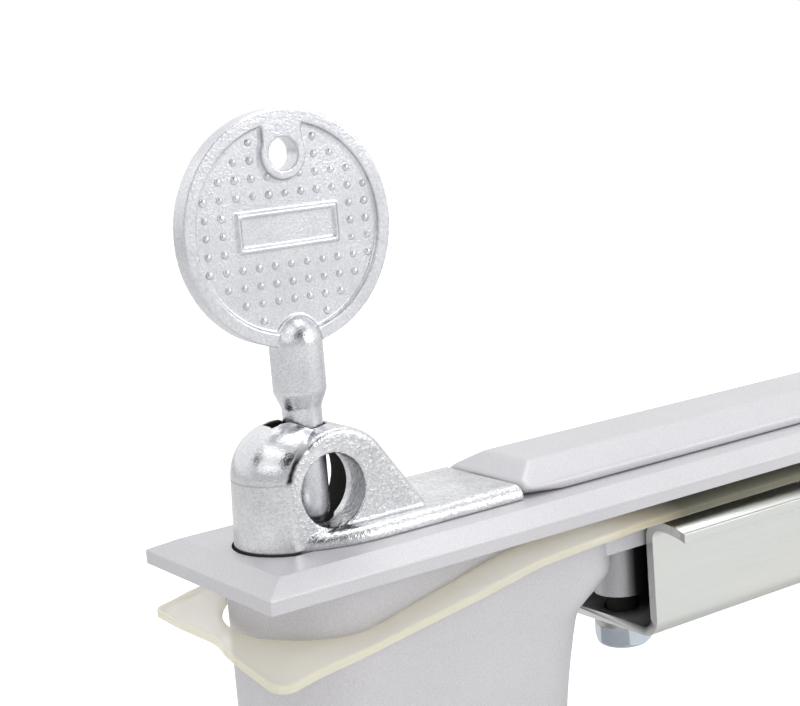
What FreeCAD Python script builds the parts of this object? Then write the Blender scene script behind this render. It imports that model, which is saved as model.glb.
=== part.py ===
import FreeCAD, Part
import math
import os

# Flat cabinet lock with a swinging handle, a padlock eye and a bit key.
# Millimetres. X runs from the padlock eye to the handle's hinge, Y across the plate,
# and Z out of the cabinet. The origin is the middle of the plate's outline, in the
# plane where the gasket meets the cabinet's panel.
# Distances along X are written from the plate's lock end, and heights from the plate's
# underside. at() and up() turn them into the part's own frame.

# Front plate
plate_length = 157.0
plate_width = 30.0
plate_edge = 1.65
bevel_width = 3.3
bevel_rise = 1.35
plate_round = 0.3
gasket_thickness = 1.0
face = plate_edge + bevel_rise

# Clearances
running = 0.05
easy = 0.2
seam = 0.3
slide_gap = 0.1
bore_gap = 0.15

# Deep lock box under the plate
key_x = 15.1
box_half = 11.0
box_wall = 2.0
box_room_half = box_half - box_wall
box_depth = 33.0
box_right = 48.6
box_lean = 3.3
box_lean_top = 13.5
flare_width = 6.2
flare_low = 14.2
flare_high = 8.6
flare_sections = 23
cover_thickness = 1.5
cover_lip = 2.0

# Shallow skirt behind the handle
skirt_half = 9.3
skirt_wall = 1.8
skirt_depth = 7.0
skirt_margin = 5.0
skirt_end = plate_length - skirt_margin
skirt_corner = 4.0
rib_x = (82.0, 100.0)

# Clamp bracket
sheet = 1.3
bracket_start = 59.5
bracket_end = skirt_end
bracket_half = 11.0
bracket_lip_half = 17.0
bracket_lip_top = 3.35
bracket_web = 19.75
bracket_bend = 1.4
bolt_inset = 4.4
bolt_x = (63.2, skirt_end - bolt_inset)
bolt_shank_r = 2.0
bolt_head_flats = 7.0
bolt_head_height = 2.8
bolt_washer = 0.8
bolt_washer_r = 3.7
bolt_washer_split = 0.6
bolt_grip = 9.0
bolt_blind = 1.0
bolt_hole_r = 2.25
bolt_boss_r = 3.7
bolt_boss_gap = 2.45
bolt_boss_end = bracket_web - sheet - bolt_boss_gap
boss_end = 16.0

# Head casting with the padlock eye
dome_x = 12.0
dome_r = 6.8
dome_top_r = 6.45
dome_spring = 8.1
head_half = 6.0
head_draft_deg = 2.3
ear_x = 16.3
ear_z = 9.1
ear_r = 7.4
ear_left = 8.9
ear_slope_deg = 55.5
ear_round = 0.9
eye_x = key_x
eye_z = 9.3
eye_r = 4.35
eye_land = 3.15
eye_wall = 4.8
eye_back_r = 4.65
eye_room_r = 5.7
eye_room_shift = 0.8
eye_rear_r = 5.9
tail_start = 9.4
tail_flare = 20.0
tail_end = 40.8
tail_half = 8.55
tail_top = 4.9
tail_roof = 0.9
tail_round = 1.5
spigot_depth = 3.0
floor_under = 1.7
keyhole_slot = 4.95
keyhole_width = 2.5
keyhole_r = 2.65
tail_screw_x = 31.0
tail_boss_r = 2.0
tail_boss_depth = 0.4
small_screw_r = 1.15
small_head_r = 2.1
small_head = 1.5
small_washer = 0.6
small_washer_r = 2.7
small_washer_room = 0.4
tail_screw_y = box_room_half - small_washer_r - small_washer_room

# Key
shank_r = 2.38
shank_tip = 5.0
shank_top = 18.6
stem_r = 1.6
stem_end = 12.2
barrel_r = 3.2
barrel_low = 20.6
barrel_high = 26.4
barrel_tip = 29.8
bit_reach = 4.6
bit_thickness = 2.1
bit_low = 11.8
bit_high = 6.2
bow_r = 13.85
bow_z = 39.8
bow_thickness = 2.6
bow_rim = 1.6
bow_recess = 0.55
bow_hole_z = 48.4
bow_hole_r = 1.95
bow_collar_r = 2.95
bow_neck_half = 2.6
frame_length = 13.4
frame_height = 4.4
frame_line = 0.4
key_draw = 33.0

# Rotor with a scroll groove that throws the locking bolt
rotor_r = 5.0
rotor_low = 17.0
scroll_room = 0.6
scroll_r = box_room_half - scroll_room
scroll_low = 21.5
scroll_rim = 0.5
throw = 3.2
pin_r = 0.9
scroll_start = scroll_r - scroll_rim - easy - pin_r - throw
scroll_depth = 2.1
scroll_points = 41
journal_r = 1.5

# Locking bolt
bolt_plate = 1.5
bolt_half = 5.0
bolt_tail_gap = 0.8
bolt_left = key_x - math.sqrt(box_room_half**2 - bolt_half**2) + bolt_tail_gap
web_x = 27.5
web_thickness = 1.6
web_half = 3.0
bar_bottom = 3.1
bar_top = 4.3
bar_end = 35.6
nose_bottom = 3.65
nose_end = 40.5
nose_half = 3.0
channel_roof = bar_top + slide_gap

# Guide plate
guide_sheet = 1.5
guide_half = box_room_half - seam
guide_left = key_x - guide_half
guide_margin = 1.0
guide_right = box_right - box_wall - guide_margin
pillar_x = 38.0
pillar_r = 2.7
pillar_y = box_room_half - easy - pillar_r
cover_inset_left = 1.9
cover_inset_right = 0.8
cover_screw_x = (
    key_x - box_room_half + cover_inset_left,
    box_right - box_wall - cover_inset_right,
)
cover_boss_r = small_head_r + 0.5
cover_boss_height = 5.4
cover_screw_grip = 4.2
guide_screw_grip = 9.0
blind_gap = 0.4

# Handle, spindle and cam
spindle_margin = 26.0
spindle_x = plate_length - spindle_margin
hinge_offset = 5.0
hinge_x = spindle_x + hinge_offset
hinge_z = 5.0
handle_gap = 0.45
handle_top = 6.75
handle_under = 3.1
handle_half = 8.55
handle_face_half = 4.55
handle_side = 1.2
tip_chamfer_z = 4.9
tip_face_x = 45.0
tip_corner = 0.8
handle_round = 0.5
relief_length = 6.2
relief_height = 1.0
relief_depth = 2.4
handle_roof = 1.4
handle_wall = 2.2
pocket_start = 52.0
pocket_margin = 11.0
pocket_end = spindle_x - pocket_margin
pocket_rib = 1.6
pocket_count = 3
hinge_pin_r = 1.0
hinge_pin_half = 7.6
lug_half = 2.5
disc_r = 7.9
disc_thickness = 1.8
recess_depth = 1.9
spindle_r = 4.95
bush_r = 6.0
spindle_boss_r = 8.4
washer_r = 7.4
washer_thickness = 0.9
circlip_r = 6.4
circlip_groove_r = 4.3
circlip_thickness = 1.0
circlip_opening = 3.4
ring_minor = 0.9
ring_z = 3.6
spindle_hole_r = 7.6
shoulder_z = 24.0
square_half = 3.4
square_end = 26.8
cam_thickness = 3.0
cam_reach = 18.0
cam_half = 7.2
rod_hole_y = 13.0
rod_hole_r = 2.6
lock_washer_r = 6.0
lock_washer_thickness = 1.2
cam_screw_flats = 8.0
cam_screw_head = 3.5
cam_screw_r = 2.5
cam_screw_grip = 12.0

# Gasket
gasket_corner = 2.0
gasket_gap = 0.9
gasket_flat_x = 96.0
gasket_rise_x = 45.0
gasket_side_gap = 0.5
gasket_stations = (
    # from the lock end, drop of the near outer edge, of the near inner edge, of the far side
    (-0.6, 8.4, 6.3, 5.7),
    (6.0, 7.5, 6.35, 4.75),
    (14.0, 6.4, 6.1, 3.4),
    (24.0, 5.0, 3.9, 1.8),
    (35.0, 3.1, 1.5, 0.6),
    (gasket_rise_x, 2.25, 0.4, 0.0),
)
gasket_near_end = (
    (gasket_rise_x, 2.25, 0.4),
    (60.0, 1.7, 0.1),
    (78.0, 1.6, 0.1),
    (gasket_flat_x, 0.0, 0.0),
)


def at(x):
    return x - plate_length / 2


def up(z):
    return z + gasket_thickness


def point(x, y, z):
    return FreeCAD.Vector(at(x), y, up(z))


def block(x0, x1, y0, y1, z0, z1):
    return Part.makeBox(x1 - x0, y1 - y0, z1 - z0, point(x0, y0, z0))


def upright(x, y, z0, z1, radius):
    return Part.makeCylinder(radius, z1 - z0, point(x, y, z0))


def across(x, z, y0, y1, radius):
    return Part.makeCylinder(radius, y1 - y0, point(x, y0, z), FreeCAD.Vector(0, 1, 0))


def line(a, b):
    return Part.LineSegment(a, b).toShape()


def arc(a, b, c):
    return Part.Arc(a, b, c).toShape()


def rounded_wire(x0, x1, half, radius, z):
    """A rectangle along X with rounded corners, at one height."""
    edges = []
    d = radius * (1 - math.sqrt(0.5))
    if x1 - x0 > 2 * radius:
        edges.append(line(point(x0 + radius, -half, z), point(x1 - radius, -half, z)))
    edges.append(arc(point(x1 - radius, -half, z), point(x1 - d, -half + d, z), point(x1, -half + radius, z)))
    if half > radius:
        edges.append(line(point(x1, -half + radius, z), point(x1, half - radius, z)))
    edges.append(arc(point(x1, half - radius, z), point(x1 - d, half - d, z), point(x1 - radius, half, z)))
    if x1 - x0 > 2 * radius:
        edges.append(line(point(x1 - radius, half, z), point(x0 + radius, half, z)))
    edges.append(arc(point(x0 + radius, half, z), point(x0 + d, half - d, z), point(x0, half - radius, z)))
    if half > radius:
        edges.append(line(point(x0, half - radius, z), point(x0, -half + radius, z)))
    edges.append(arc(point(x0, -half + radius, z), point(x0 + d, -half + d, z), point(x0 + radius, -half, z)))
    return Part.Wire(edges)


def rounded_block(x0, x1, half, radius, z0, z1):
    face_shape = Part.Face(rounded_wire(x0, x1, half, radius, z0))
    return face_shape.extrude(FreeCAD.Vector(0, 0, z1 - z0))


def outline_xz(points, y0, y1):
    """A closed outline in the XZ plane, extruded across the lock."""
    corners = [point(x, y0, z) for x, z in points]
    wire = Part.makePolygon(corners + corners[:1])
    return Part.Face(wire).extrude(FreeCAD.Vector(0, y1 - y0, 0))


def outline_yz(points, x0, x1):
    """A closed outline in the YZ plane, extruded along the lock."""
    corners = [point(x0, y, z) for y, z in points]
    wire = Part.makePolygon(corners + corners[:1])
    return Part.Face(wire).extrude(FreeCAD.Vector(x1 - x0, 0, 0))


def hexagon(x, y, z0, z1, flats):
    """A hexagonal prism with two corners along X."""
    corner_r = flats / math.sqrt(3)
    corners = [
        point(
            x + corner_r * math.cos(math.radians(60 * k)),
            y + corner_r * math.sin(math.radians(60 * k)),
            z0,
        )
        for k in range(6)
    ]
    wire = Part.makePolygon(corners + corners[:1])
    prism = Part.Face(wire).extrude(FreeCAD.Vector(0, 0, z1 - z0))
    return prism


def hex_screw(x, y, seat_z, length, shank, flats, head):
    """A hex-headed screw that points up, with its head under seat_z and a chamfered head end."""
    low = seat_z - head
    chamfer = Part.makeCone(flats / 2 * 0.95, flats / 2 * 0.95 + head, head, point(x, y, low))
    top = hexagon(x, y, low, seat_z, flats).common(chamfer)
    return top.fuse(upright(x, y, seat_z - running, seat_z + length, shank)).removeSplitter()


def pan_screw(x, y, seat_z, length):
    """A small round-headed screw that points up, with a cross recess in its head."""
    rim = small_head * 0.45
    head = upright(x, y, seat_z - small_head + rim, seat_z, small_head_r)
    head = head.fuse(Part.makeCone(small_head_r - rim, small_head_r, rim, point(x, y, seat_z - small_head)))
    arm = small_head_r * 0.55
    slot = small_head_r * 0.13
    cross = block(x - arm, x + arm, y - slot, y + slot, seat_z - small_head, seat_z - small_head / 2)
    bar = block(x - slot, x + slot, y - arm, y + arm, seat_z - small_head, seat_z - small_head / 2)
    cross = cross.fuse(bar)
    shank = upright(x, y, seat_z - running, seat_z + length, small_screw_r)
    return head.fuse(shank).cut(cross).removeSplitter()


def ring(x, y, z0, z1, inner, outer):
    return upright(x, y, z0, z1, outer).cut(upright(x, y, z0, z1, inner))


def keyhole(z0, z1, radius, reach, width):
    """The upright passage for the key: a round hole with a slot towards the lock end."""
    slot = block(key_x - reach, key_x, -width / 2, width / 2, z0, z1)
    return upright(key_x, 0, z0, z1, radius).fuse(slot)


def head_plan(z0, z1, grow):
    """The head's oval foot: two arcs joined by the flat faces of the padlock eye."""
    mirror_x = 2 * key_x - dome_x
    half = dome_r + grow
    oval = rounded_block(dome_x - half, mirror_x + half, half, half, z0, z1)
    return oval.common(block(0, plate_length, -head_half - grow, head_half + grow, z0, z1))


def make_housing():
    # Plate with a bevelled border
    slab = block(0, plate_length, -plate_width / 2, plate_width / 2, 0, plate_edge)
    inner = plate_width / 2 - bevel_width
    half = plate_width / 2
    low = [(0, -half), (plate_length, -half), (plate_length, half), (0, half)]
    high = [
        (bevel_width, -inner),
        (plate_length - bevel_width, -inner),
        (plate_length - bevel_width, inner),
        (bevel_width, inner),
    ]
    wires = []
    for corners, z in ((low, plate_edge), (high, face)):
        vectors = [point(x, y, z) for x, y in corners]
        wires.append(Part.makePolygon(vectors + vectors[:1]))
    body = slab.fuse(Part.makeLoft(wires, True, True)).removeSplitter()
    upper = [e for e in body.Edges if e.BoundBox.ZMax > up(plate_edge) - 1e-6]
    upper = [e for e in upper if e.BoundBox.ZMin > up(0) - 1e-6]
    body = body.makeFillet(plate_round, upper)

    # Deep box with its flared end, and the shallow skirt
    left = key_x - box_half
    shoulder = box_right + box_growth(0)
    sections = []
    for k in range(flare_sections):
        depth = box_depth * (1 - k / (flare_sections - 1))
        sections.append(rounded_wire(left, box_right + box_growth(depth), box_half, box_half, -depth))
    box = Part.makeLoft(sections, True, False)
    skirt = rounded_block(box_right - box_half, skirt_end, skirt_half, skirt_corner, -skirt_depth, 0)
    body = body.fuse([box, skirt])

    # Hollow box and hollow skirt
    room_right = box_right - box_wall
    room = rounded_block(left + box_wall, room_right, box_room_half, box_room_half, -box_depth, 0)
    skirt_left = shoulder + skirt_wall
    room_half = skirt_half - skirt_wall
    corner = skirt_corner - skirt_wall
    skirt_room = rounded_block(skirt_left, skirt_end - skirt_wall, room_half, corner, -skirt_depth, 0)
    body = body.cut([room, skirt_room])

    # Ribs, bosses for the bracket bolts and the spindle, and pillars for the guide plate
    rib_half = skirt_half - skirt_wall / 2
    added = [block(x, x + skirt_wall, -rib_half, rib_half, -skirt_depth, 0) for x in rib_x]
    added += [upright(x, 0, -bolt_boss_end, 0, bolt_boss_r) for x in bolt_x]
    added.append(upright(spindle_x, 0, -boss_end, 0, spindle_boss_r))
    guide_seat = bolt_seat() - bolt_plate - slide_gap
    added += [upright(pillar_x, y, guide_seat, 0, pillar_r) for y in (-pillar_y, pillar_y)]
    pillar_web = box_half - box_wall / 2
    for side in (-1, 1):
        low_y, high_y = sorted((side * pillar_y, side * pillar_web))
        added.append(block(pillar_x - sheet / 2, pillar_x + sheet / 2, low_y, high_y, guide_seat, 0))
    for x in cover_screw_x:
        boss = upright(x, 0, -box_depth, -box_depth + cover_boss_height, cover_boss_r)
        added.append(boss)
    body = body.fuse(added)

    # Openings
    grow = seam
    cuts = [head_plan(-spigot_depth, face, grow)]
    slot_end = web_x + web_thickness + throw + easy
    cuts.append(block(web_x - easy, slot_end, -web_half - easy, web_half + easy, -1, face))
    for y in (-tail_screw_y, tail_screw_y):
        cuts.append(upright(tail_screw_x, y, 0, face, tail_boss_r + easy))
    cuts.append(upright(spindle_x, 0, face - recess_depth, face, disc_r + seam))
    cuts.append(upright(spindle_x, 0, -boss_end, face, bush_r))
    grip = bolt_grip + bolt_blind
    low = -bolt_boss_end
    cuts += [upright(x, 0, low, low + grip, bolt_shank_r + running) for x in bolt_x]
    grip = guide_screw_grip + blind_gap
    for y in (-pillar_y, pillar_y):
        cuts.append(upright(pillar_x, y, guide_seat, guide_seat + grip, small_screw_r + running))
    grip = cover_screw_grip + blind_gap
    cuts += [upright(x, 0, -box_depth, -box_depth + grip, small_screw_r + running) for x in cover_screw_x]
    return body.cut(cuts).removeSplitter()


def box_growth(depth):
    """How far the box's right end has leaned and flared out at a depth under the plate."""
    lean = min(1, (box_depth - depth) / (box_depth - box_lean_top))
    step = max(0, min(1, (flare_low - depth) / (flare_low - flare_high)))
    return box_lean * lean**1.7 + flare_width * step * step * (3 - 2 * step)


def bolt_seat():
    """Height of the locking bolt's upper face under the scroll."""
    return -scroll_low - slide_gap


def make_lock_head():
    # Dome end: a slightly tapered barrel under half a ball
    dome = Part.makeCone(dome_r, dome_top_r, dome_spring, point(dome_x, 0, face))
    ball = Part.makeSphere(dome_top_r, point(dome_x, 0, face + dome_spring))
    # Padlock eye: a round top with a straight slope down to the tail
    slope = math.radians(90 - ear_slope_deg)
    touch = (ear_x + ear_r * math.cos(slope), ear_z + ear_r * math.sin(slope))
    foot_x = touch[0] + (touch[1] - face) / math.tan(math.radians(ear_slope_deg))
    y0 = -dome_r
    edges = [
        line(point(ear_left, y0, face), point(ear_left, y0, ear_z)),
        arc(point(ear_left, y0, ear_z), point(ear_x, y0, ear_z + ear_r), point(touch[0], y0, touch[1])),
        line(point(touch[0], y0, touch[1]), point(foot_x, y0, face)),
        line(point(foot_x, y0, face), point(ear_left, y0, face)),
    ]
    ear = Part.Face(Part.Wire(edges)).extrude(FreeCAD.Vector(0, 2 * dome_r, 0))
    lean = math.tan(math.radians(head_draft_deg)) * 2 * ear_r
    flanks = outline_yz(
        [
            (-head_half, face),
            (head_half, face),
            (head_half - lean, face + 2 * ear_r),
            (lean - head_half, face + 2 * ear_r),
        ],
        0,
        plate_length,
    )
    ear = ear.common(flanks)
    rim = [e for e in ear.Edges if on_rim(e)]
    ear = ear.makeFillet(ear_round, rim)
    head = dome.fuse(ball).common(flanks).fuse(ear)

    # Tail that the handle's tip meets
    head = head.fuse(make_tail())
    # Foot that passes through the plate
    head = head.fuse(head_plan(-spigot_depth, face, 0))
    for y in (-tail_screw_y, tail_screw_y):
        head = head.fuse(upright(tail_screw_x, y, tail_boss_depth, face, tail_boss_r))

    # Padlock hole in the near wall, with a tapered end
    flank_y = head_half - math.tan(math.radians(head_draft_deg)) * (eye_z - face)
    land_y = flank_y - eye_land
    wall_y = flank_y - eye_wall
    cuts = [across(eye_x, eye_z, -dome_r, -land_y, eye_r)]
    taper_start = point(eye_x, -land_y, eye_z)
    cuts.append(Part.makeCone(eye_r, eye_back_r, land_y - wall_y, taper_start, FreeCAD.Vector(0, 1, 0)))
    # Round room that the key crosses, and its stepped way out at the far side
    room_x = eye_x + eye_room_shift
    cuts.append(across(room_x, ear_z, -wall_y, keyhole_r, eye_room_r))
    cuts.append(across(room_x, ear_z, keyhole_r, flank_y, eye_rear_r))
    cuts.append(across(room_x, ear_z, flank_y, tail_half, eye_rear_r + easy))
    cuts.append(keyhole(floor_under, face + dome_spring + ear_r, keyhole_r, keyhole_slot, keyhole_width))
    cuts.append(upright(key_x, 0, -spigot_depth, floor_under, rotor_r + running))
    # Channel for the locking bolt in the tail's underside, with a slot in its end
    channel_end = bar_end + throw + easy
    cuts.append(block(web_x - easy, channel_end, -nose_half - easy, nose_half + easy, face, channel_roof))
    floor = nose_bottom - slide_gap
    cuts.append(block(channel_end, tail_end, -nose_half - easy, nose_half + easy, floor, channel_roof))
    for y in (-tail_screw_y, tail_screw_y):
        bore_r = small_screw_r + running
        cuts.append(upright(tail_screw_x, y, tail_boss_depth, tail_top - tail_roof, bore_r))
    return head.cut(cuts).removeSplitter()


def on_rim(edge):
    """True for the edges between the eye's flat faces and its outline above the plate."""
    box = edge.BoundBox
    middle = edge.valueAt((edge.FirstParameter + edge.LastParameter) / 2)
    beside = abs(middle.y) > head_half * 0.7
    lying = box.ZMax - up(face) < 1e-6
    left_upright = box.XLength < 1e-6
    return beside and not lying and not left_upright


def make_tail():
    """The low tail: a leaf-shaped start beside the eye, then straight sides with rounded edges."""
    end_half = tail_half
    start_half = head_half * 0.9
    flare = (tail_flare + tail_start) / 2
    flare_half = end_half - (end_half - start_half) * 0.22
    edges = []
    for side in (-1, 1):
        edges.append(
            arc(
                point(tail_start, side * start_half, face),
                point(flare, side * flare_half, face),
                point(tail_flare, side * end_half, face),
            )
        )
        edges.append(line(point(tail_flare, side * end_half, face), point(tail_end, side * end_half, face)))
    edges.append(line(point(tail_end, -end_half, face), point(tail_end, end_half, face)))
    edges.append(line(point(tail_start, -start_half, face), point(tail_start, start_half, face)))
    wire = Part.Wire(Part.sortEdges(edges)[0])
    tail = Part.Face(wire).extrude(FreeCAD.Vector(0, 0, tail_top - face))
    rim = []
    for e in tail.Edges:
        box = e.BoundBox
        if box.ZMin > up(tail_top) - 1e-6 and box.XLength > 1:
            rim.append(e)
    return tail.makeFillet(tail_round, rim)


def make_key():
    # Turned shank: rounded end, thin stem below it and a thick barrel above
    centre = point(key_x, 0, 0)
    stem_top = shank_tip + shank_r - stem_rise()
    turn = math.radians(20)
    shoulder = point(key_x + shank_r * math.cos(turn), 0, shank_tip + shank_r * (1 - math.sin(turn)))
    rows = [
        line(point(key_x, 0, -stem_end), point(key_x + stem_r, 0, -stem_end)),
        line(point(key_x + stem_r, 0, -stem_end), point(key_x + stem_r, 0, stem_top)),
        arc(point(key_x + stem_r, 0, stem_top), shoulder, point(key_x + shank_r, 0, shank_tip + shank_r)),
        line(point(key_x + shank_r, 0, shank_tip + shank_r), point(key_x + shank_r, 0, shank_top)),
        line(point(key_x + shank_r, 0, shank_top), point(key_x + barrel_r, 0, barrel_low)),
        line(point(key_x + barrel_r, 0, barrel_low), point(key_x + barrel_r, 0, barrel_high)),
        arc(
            point(key_x + barrel_r, 0, barrel_high),
            point(key_x + barrel_r * 0.68, 0, barrel_high + (barrel_tip - barrel_high) * 0.68),
            point(key_x, 0, barrel_tip),
        ),
        line(point(key_x, 0, barrel_tip), point(key_x, 0, -stem_end)),
    ]
    turned = Part.Face(Part.Wire(rows)).revolve(centre, FreeCAD.Vector(0, 0, 1), 360)
    bit = block(key_x - bit_reach, key_x, -bit_thickness / 2, bit_thickness / 2, -bit_low, -bit_high)

    # Round bow with a raised rim on both faces
    half = bow_thickness / 2
    bow = across(key_x, bow_z, -half, half, bow_r)
    for side in (-1, 1):
        y0, y1 = sorted((side * (half - bow_recess), side * (half + 1)))
        field = across(key_x, bow_z, y0, y1, bow_r - bow_rim)
        collar = across(key_x, bow_hole_z, y0, y1, bow_collar_r)
        left, right = key_x - bow_neck_half, key_x + bow_neck_half
        collar = collar.fuse(block(left, right, y0, y1, bow_hole_z, bow_z + bow_r))
        left, right = key_x - frame_length / 2, key_x + frame_length / 2
        low, high = bow_z - frame_height / 2, bow_z + frame_height / 2
        outer = block(left, right, y0, y1, low, high)
        inner = block(left + frame_line, right - frame_line, y0, y1, low + frame_line, high - frame_line)
        low_y, high_y = sorted((side * (half - bow_recess / 2), side * (half + 1)))
        skim = block(left - 1, right + 1, low_y, high_y, bow_z - bow_r, bow_z + bow_r)
        field = field.cut(collar).cut(outer.cut(inner))
        field = field.fuse(outer.common(skim))
        bow = bow.cut(field)
    bow = bow.cut(across(key_x, bow_hole_z, -half, half, bow_hole_r))
    return turned.fuse([bit, bow]).removeSplitter()


def stem_rise():
    """How far the shank's round end has curved in where the stem leaves it."""
    return math.sqrt(shank_r**2 - stem_r**2)


def scroll_curve(offset, z):
    """One turn of the scroll: its radius grows by the bolt's throw in a full turn."""
    over = math.radians(22)
    points = []
    for k in range(scroll_points):
        turn = -over + (2 * math.pi + 2 * over) * k / (scroll_points - 1)
        radius = scroll_start + throw * turn / (2 * math.pi) + offset
        points.append(point(key_x + radius * math.cos(turn), radius * math.sin(turn), z))
    curve = Part.BSplineCurve()
    curve.interpolate(points)
    return curve.toShape(), points[0], points[-1]


def make_key_rotor():
    barrel = upright(key_x, 0, -rotor_low, floor_under - slide_gap, rotor_r)
    scroll = upright(key_x, 0, -scroll_low, -rotor_low, scroll_r)
    journal = upright(key_x, 0, bolt_seat() - bolt_plate - guide_sheet - easy, -scroll_low, journal_r)
    passage = upright(key_x, 0, -stem_end - 2 * easy, floor_under, stem_r + bore_gap)
    slot_half = bit_thickness / 2 + slide_gap
    slot = block(key_x - bit_reach - easy, key_x, -slot_half, slot_half, -bit_low - easy, floor_under)
    half_width = pin_r + easy
    low = -scroll_low
    inner, inner_start, inner_end = scroll_curve(-half_width, low)
    outer, outer_start, outer_end = scroll_curve(half_width, low)
    wire = Part.Wire([inner, line(inner_end, outer_end), outer, line(outer_start, inner_start)])
    groove = Part.Face(wire).extrude(FreeCAD.Vector(0, 0, scroll_depth))
    return barrel.fuse([scroll, journal]).cut([passage, slot, groove]).removeSplitter()


def make_locking_bolt():
    top = bolt_seat()
    plate = block(bolt_left, web_x + web_thickness, -bolt_half, bolt_half, top - bolt_plate, top)
    slot_half = journal_r + easy
    slot = block(key_x - throw, key_x, -slot_half, slot_half, top - bolt_plate, top)
    slot = slot.fuse(upright(key_x - throw, 0, top - bolt_plate, top, slot_half))
    slot = slot.fuse(upright(key_x, 0, top - bolt_plate, top, slot_half))
    pin = upright(key_x + scroll_start, 0, top - bolt_plate / 2, top + scroll_depth - slide_gap, pin_r)
    web = block(web_x, web_x + web_thickness, -web_half, web_half, top - bolt_plate, bar_top)
    bar = block(web_x, bar_end, -nose_half, nose_half, bar_bottom, bar_top)
    nose = block(bar_end, nose_end, -nose_half, nose_half, nose_bottom, bar_top)
    return plate.cut(slot).fuse([pin, web, bar, nose]).removeSplitter()


def make_guide_plate():
    top = bolt_seat() - bolt_plate - slide_gap
    low = top - guide_sheet
    plate = rounded_block(guide_left, guide_right, guide_half, guide_half, low, top)
    cuts = [upright(key_x, 0, low, top, journal_r + running)]
    cuts += [upright(pillar_x, y, low, top, small_screw_r + easy) for y in (-pillar_y, pillar_y)]
    return plate.cut(cuts)


def make_guide_screws():
    seat = bolt_seat() - bolt_plate - slide_gap - guide_sheet
    return [pan_screw(pillar_x, y, seat, guide_sheet + guide_screw_grip) for y in (-pillar_y, pillar_y)]


def make_head_screws():
    seat = -small_washer
    length = tail_top - tail_roof - blind_gap - seat
    return [pan_screw(tail_screw_x, y, seat, length) for y in (-tail_screw_y, tail_screw_y)]


def make_head_washers():
    return [
        ring(tail_screw_x, y, -small_washer, 0, small_screw_r + easy, small_washer_r)
        for y in (-tail_screw_y, tail_screw_y)
    ]


def make_box_cover():
    left = key_x - box_half
    plate = rounded_block(left, box_right, box_half, box_half, -box_depth - cover_thickness, -box_depth)
    outer_half = box_room_half - easy
    grow = box_wall + easy
    low, high = -box_depth, -box_depth + cover_lip
    lip = rounded_block(left + grow, box_right - grow, outer_half, outer_half, low, high)
    reach = grow + sheet
    inner_half = outer_half - sheet
    hollow = rounded_block(left + reach, box_right - reach, inner_half, inner_half, low, high)
    cuts = [hollow]
    for x in cover_screw_x:
        cuts.append(upright(x, 0, -box_depth, -box_depth + cover_lip, cover_boss_r + easy))
        cuts.append(upright(x, 0, -box_depth - cover_thickness, -box_depth, small_screw_r + easy))
    return plate.fuse(lip).cut(cuts).removeSplitter()


def make_cover_screws():
    seat = -box_depth - cover_thickness
    return [pan_screw(x, 0, seat, cover_thickness + cover_screw_grip) for x in cover_screw_x]


def make_bracket():
    """A hat channel of bent sheet: outward lips, upright walls and a web with three holes."""
    inner = bracket_half - sheet
    r = bracket_bend
    t = sheet
    lip = -bracket_lip_top
    web = -bracket_web
    k = math.sqrt(0.5)
    x0 = bracket_start

    def p(y, z):
        return point(x0, y, z)

    edges = []
    for s in (-1, 1):
        edges += [
            line(p(0, web), p(s * (bracket_half - r - t), web)),
            arc(
                p(s * (bracket_half - r - t), web),
                p(s * (bracket_half - (r + t) * (1 - k)), web + (r + t) * (1 - k)),
                p(s * bracket_half, web + r + t),
            ),
            line(p(s * bracket_half, web + r + t), p(s * bracket_half, lip - t - r)),
            arc(
                p(s * bracket_half, lip - t - r),
                p(s * (bracket_half + r * (1 - k)), lip - t - r * (1 - k)),
                p(s * (bracket_half + r), lip - t),
            ),
            line(p(s * (bracket_half + r), lip - t), p(s * bracket_lip_half, lip - t)),
            line(p(s * bracket_lip_half, lip - t), p(s * bracket_lip_half, lip)),
            line(p(s * bracket_lip_half, lip), p(s * (bracket_half + r), lip)),
            arc(
                p(s * (bracket_half + r), lip),
                p(s * (inner + (r + t) * (1 - k)), lip - (r + t) * (1 - k)),
                p(s * inner, lip - t - r),
            ),
            line(p(s * inner, lip - t - r), p(s * inner, web + t + r)),
            arc(
                p(s * inner, web + t + r),
                p(s * (inner - r * (1 - k)), web + t + r * (1 - k)),
                p(s * (inner - r), web + t),
            ),
            line(p(s * (inner - r), web + t), p(0, web + t)),
        ]
    wire = Part.Wire(Part.sortEdges(edges)[0])
    channel = Part.Face(wire).extrude(FreeCAD.Vector(bracket_end - bracket_start, 0, 0))
    cuts = [upright(x, 0, web, web + t, bolt_hole_r) for x in bolt_x]
    cuts.append(upright(spindle_x, 0, web, web + t, spindle_hole_r))
    return channel.cut(cuts)


def make_bracket_bolts():
    seat = -bracket_web - bolt_washer
    length = bolt_grip - bolt_boss_end - seat
    return [hex_screw(x, 0, seat, length, bolt_shank_r, bolt_head_flats, bolt_head_height) for x in bolt_x]


def make_bolt_washers():
    """Two spring washers, each a ring with a slanting cut."""
    low = -bracket_web - bolt_washer
    washers = []
    for x in bolt_x:
        split = outline_yz(
            [
                (-bolt_washer_split, low),
                (0, low),
                (bolt_washer_split, -bracket_web),
                (0, -bracket_web),
            ],
            x,
            x + bolt_washer_r,
        )
        washers.append(ring(x, 0, low, -bracket_web, bolt_hole_r, bolt_washer_r).cut(split))
    return washers


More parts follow.
